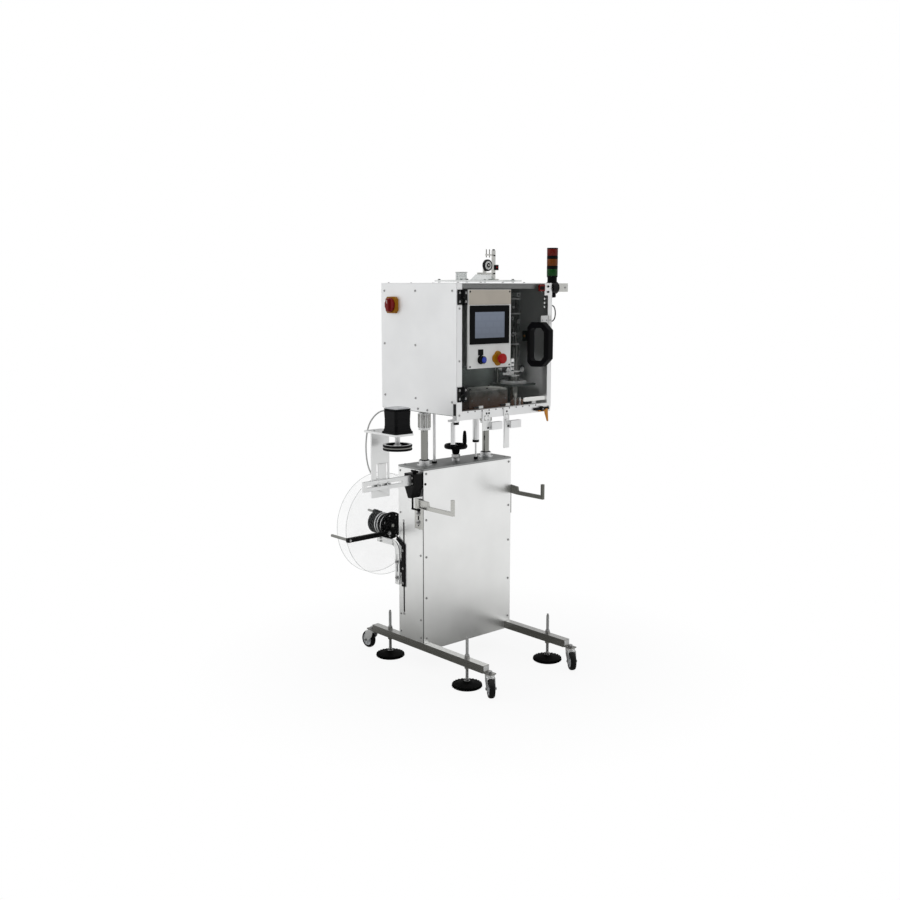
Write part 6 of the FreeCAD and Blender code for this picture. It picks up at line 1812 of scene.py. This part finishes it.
@dataclass
class TopUnit:
    """The clear film plate on the roof with the guide stand and wheel, and the signal light."""

    plate_top: float = 1610
    wheel: Point = (141, 41, 1672)
    wheel_radius: float = 24.5
    wheel_width: float = 14
    light: tuple[float, float] = (283, -197.5)
    light_foot: float = 1597
    lens_radius: float = 22.5

    def build(self) -> None:
        """Builds the top unit."""
        dress("film_inlet_plate", Finish.CLEAR_PLATE, 0.5)
        dress("guide_wheel_stand", Finish.HOOK, 0.8)
        self.fixings()
        self.guide_wheel()
        self.signal_light()

    def fixings(self) -> None:
        """Adds the stand-off nuts, the spool's trim, the film funnel and the stand's fittings."""
        mesher = Mesher()
        for x, y in product((-69, 192), (-60, 109)):
            mesher.hex_head((x, y, self.plate_top), UP, 10, 5)
        mesher.piece("film_plate_nuts", "head")
        spool = Mesher(Finish.WHITE_PLASTIC)
        spool.ring(23.5, 26.2, 2.8, (10, 60, 1641.2), UP, 0.8)
        spool.cap_screw((10, 60, self.plate_top), UP, 5.2)
        spool.piece("film_spool_trim", "head")
        funnel = Mesher(Finish.CLEAR_PLATE)
        foot = [(72, 20), (168, 20), (168, 74), (72, 74)]
        neck = [(94, 30), (150, 30), (150, 64), (94, 64)]
        funnel.hull([(x, y, self.plate_top + 0.2) for x, y in foot], [(x, y, 1634) for x, y in neck])
        funnel.piece("film_funnel", "head", bevel=0.6)
        small = Mesher(Finish.BLACK_PLASTIC)
        small.box((184, 40, 1653), (206, 45.5, 1674))
        small.disc(3.5, 1.6, (195, 39.8, 1664), FRONT, 0.4, 24, finish=Finish.RED)
        for z in (1713.5, 1638.5):
            small.cap_screw((193, 52, z), FRONT, 3, Finish.BLACK_METAL)
        small.disc(5.5, 5.5, (193, 58, 1734.5), UP, 1, 24)
        small.piece("guide_stand_trim", "head", bevel=0.4)

    def guide_wheel(self) -> None:
        """Builds the film guide wheel: black tyre, pale hub and a black ring in front."""
        x, y, z = self.wheel
        r, w = self.wheel_radius, self.wheel_width
        at = (x, y, z)
        mesher = Mesher(Finish.RUBBER)
        tyre = [(r * 0.72, -w * 0.4), (r * 0.8, -w * 0.46), (r - 1.2, -w * 0.44), (r, -w * 0.3),
                (r, -w * 0.08), (r - 0.9, 0), (r, w * 0.08), (r, w * 0.3), (r - 1.2, w * 0.44),
                (r * 0.8, w * 0.46), (r * 0.72, w * 0.4)]
        mesher.lathe(tyre, at, BACK, 64, closed=True)
        hub = [(4.3, -w * 0.5), (r * 0.34, -w * 0.5), (r * 0.38, -w * 0.3), (r * 0.66, -w * 0.3),
               (r * 0.73, -w * 0.42)]
        mesher.lathe(mirrored(hub), at, BACK, 48, closed=True, finish=Finish.WHITE_PLASTIC)
        mesher.ring(4.3, r * 0.4, 1.2, (x, y - w * 0.5, z), FRONT, 0.3, 40, finish=Finish.BLACK_PLASTIC)
        mesher.piece("guide_wheel_dressed", "top_wheel", ["guide_wheel"])

    def signal_light(self) -> None:
        """Builds the signal light: base, ribbed lenses, black rings and cap."""
        x, y = self.light
        z = self.light_foot
        r = self.lens_radius
        body = Mesher(Finish.BLACK_PLASTIC)
        body.lathe([(0, 0), (17.2, 0), (17.2, 4), (r - 2.8, 5.5), (r - 2.8, 24), (r, 26.5), (r, 30), (0, 30)],
                   (x, y, z), UP, 64)
        level = z + 30
        colours = (Finish.LENS_GREEN, Finish.LENS_AMBER, Finish.LENS_RED)
        for index, colour in enumerate(colours):
            lens = Mesher(colour)
            lens.lathe([(19.5, 0.3), (r - 0.4, 0.3), (r, 1), (r, 27), (r - 0.4, 27.7), (19.5, 27.7)],
                       (x, y, level), UP, 72, closed=True)
            lens.piece("lens_" + colour.name.lower(), "head", ["stack_light_lenses"])
            level += 28
            tall = 13 if index < 2 else 4
            body.disc(r, tall, (x, y, level), UP, 0.6, 64)
            level += tall
        body.lathe([(0, z), (9, z), (9, level - 1), (0, level - 1)], (x, y, 0), UP, 24,
                   finish=Finish.WHITE_PLASTIC)
        body.piece("signal_light_body", "head", ["stack_light_base"], sharp=40)


@dataclass
class Studio:
    """The camera, the white room and the soft lamps, in metres."""

    camera: Point = (-3.022, -3.261, 1.578)
    azimuth: float = -41.8
    pitch: float = 8.59
    lens: float = 42.91
    lamps: tuple[tuple[Point, Point, float, float], ...] = (
        ((-2.6, -2.2, 3.2), (0.0, 0.0, 1.0), 2.4, 34.0), ((2.6, -3.0, 2.4), (0.0, 0.0, 0.9), 2.0, 15.0),
        ((-2.8, 2.0, 2.2), (0.0, 0.0, 1.0), 2.0, 22.0), ((0.0, 0.3, 4.2), (0.0, 0.0, 0.5), 2.6, 30.0),
        ((0.09, -0.14, 1.3), (0.1, -0.06, 1.08), 0.12, 0.5))

    def build(self) -> None:
        """Sets up the camera, the floor, the world and the lamps."""
        self.place_camera()
        self.floor()
        self.world()
        for index, lamp in enumerate(self.lamps):
            self.hang_lamp(f"soft_lamp_{index}", *lamp)
        bpy.context.scene.view_settings.view_transform = "Standard"

    def aim(self, piece: bpy.types.Object, place: Point, direction: Vector) -> None:
        """Puts a camera or a lamp at a place, turned along a direction."""
        piece.location = place
        piece.rotation_mode = "QUATERNION"
        piece.rotation_quaternion = direction.to_track_quat("-Z", "Y")
        bpy.context.scene.collection.objects.link(piece)

    def place_camera(self) -> None:
        """Puts the camera where the photograph was taken from."""
        data = bpy.data.cameras.new("camera")
        data.lens = self.lens
        data.sensor_width = 36.0
        data.clip_end = 60.0
        camera = bpy.data.objects.new("camera", data)
        a, e = math.radians(self.azimuth), math.radians(self.pitch)
        back = Vector((math.sin(a) * math.cos(e), -math.cos(a) * math.cos(e), math.sin(e)))
        self.aim(camera, self.camera, -back)
        bpy.context.scene.camera = camera

    def floor(self) -> None:
        """Lays a white floor with soft shadows; reflections see a painted glowing floor, grey like a workshop
        floor and darkest near the machine as painted shade.
        """
        mesh = bpy.data.meshes.new("floor")
        mesh.from_pydata([(-30, -30, 0), (30, -30, 0), (30, 30, 0), (-30, 30, 0)], [], [(0, 1, 2, 3)])
        floor = bpy.data.objects.new("floor", mesh)
        bpy.context.scene.collection.objects.link(floor)
        material = bpy.data.materials.new("floor_white")
        material.use_nodes = True
        material.node_tree.nodes.clear()
        wiring = Wiring(material.node_tree)
        place = wiring.place()
        tone = wiring.blend(wiring.noise(place, 3.0, 4.0), shade(grey(0.86)), shade(grey(0.9)))
        matte = wiring.add("BsdfDiffuse", {"Color": tone})
        white = wiring.add("Emission", {"Color": WHITE, "Strength": 1.0})
        aside = wiring.add("VectorMath", {0: place, 1: (0.17, -0.17, 0.0)}, operation="ADD").outputs[0]
        spread = wiring.length(aside)
        # Reflections see a painted floor: dark near the machine as painted shade, paler further out.
        near = wiring.blend(wiring.ramp(spread, 0.35, 1.5), (0.13, 0.13, 0.12, 1), (0.88, 0.88, 0.87, 1))
        painted_reflection_colour = wiring.blend(wiring.ramp(spread, 1.5, 5.0), near, shade(grey(0.96)))
        mirrored = wiring.add("Emission", {"Color": painted_reflection_colour, "Strength": 1.0})
        path = wiring.add("LightPath").outputs
        seen = wiring.maths("MAXIMUM", path["Is Camera Ray"], path["Is Transmission Ray"])
        share = wiring.times(seen, wiring.ramp(wiring.length(place), 0.4, 1.2, 0.9, 1.0))
        mixed = wiring.switch(path["Is Glossy Ray"], wiring.switch(share, matte, white), mirrored)
        wiring.add("OutputMaterial", {"Surface": mixed.outputs[0]})
        mesh.materials.append(material)

    def world(self) -> None:
        """Makes the room white to the eye, and to glossy faces a room with soft boxes and dark gaps."""
        world = bpy.data.worlds.new("studio")
        bpy.context.scene.world = world
        world.use_nodes = True
        world.node_tree.nodes.clear()
        wiring = Wiring(world.node_tree)
        path = wiring.add("LightPath").outputs
        seen = wiring.maths("MAXIMUM", path["Is Camera Ray"], path["Is Transmission Ray"])
        axes = wiring.split(wiring.add("TexCoord").outputs["Generated"])
        turn = math.radians(self.azimuth)
        toward = wiring.maths("SUBTRACT", wiring.times(axes[0], math.sin(turn)),
                              wiring.times(axes[1], math.cos(turn)))
        near = wiring.ramp(toward, 0.42, 0.75, 1.0, 0.05)
        far = wiring.ramp(toward, -0.95, -0.6, 0.45, 1.0)
        tone = wiring.times(wiring.maths("MINIMUM", near, far), wiring.ramp(axes[2], -0.05, 0.7, 0.8, 1.0))
        glossy = wiring.add("Background", {"Color": tone, "Strength": 1.0})
        soft = wiring.add("Background", {"Color": (0.95, 0.97, 1.0, 1), "Strength": 0.36})
        white = wiring.add("Background", {"Color": WHITE, "Strength": 1.0})
        mixed = wiring.switch(seen, wiring.switch(path["Is Glossy Ray"], soft, glossy), white)
        wiring.add("OutputWorld", {"Surface": mixed.outputs[0]})

    def hang_lamp(self, name: str, place: Point, target: Point, size: float, power: float) -> None:
        """Hangs one soft area lamp that shows in no reflection."""
        data = bpy.data.lights.new(name, "AREA")
        data.size = size
        data.energy = power
        lamp = bpy.data.objects.new(name, data)
        lamp.visible_glossy = False
        self.aim(lamp, place, Vector(target) - Vector(place))


def main() -> None:
    """Builds the studio and every sub-assembly in order."""
    Studio().build()
    SpacingWheelUnit().build()
    WheeledBase().build()
    Cabinet().build()
    LiftColumns().build()
    ConveyorHook(-1).build()
    ConveyorHook(1).build()
    FilmReel().build()
    Head().build()
    SleeveMechanism().build()
    Door().build()
    TopUnit().build()


if __name__ == "__main__":
    main()
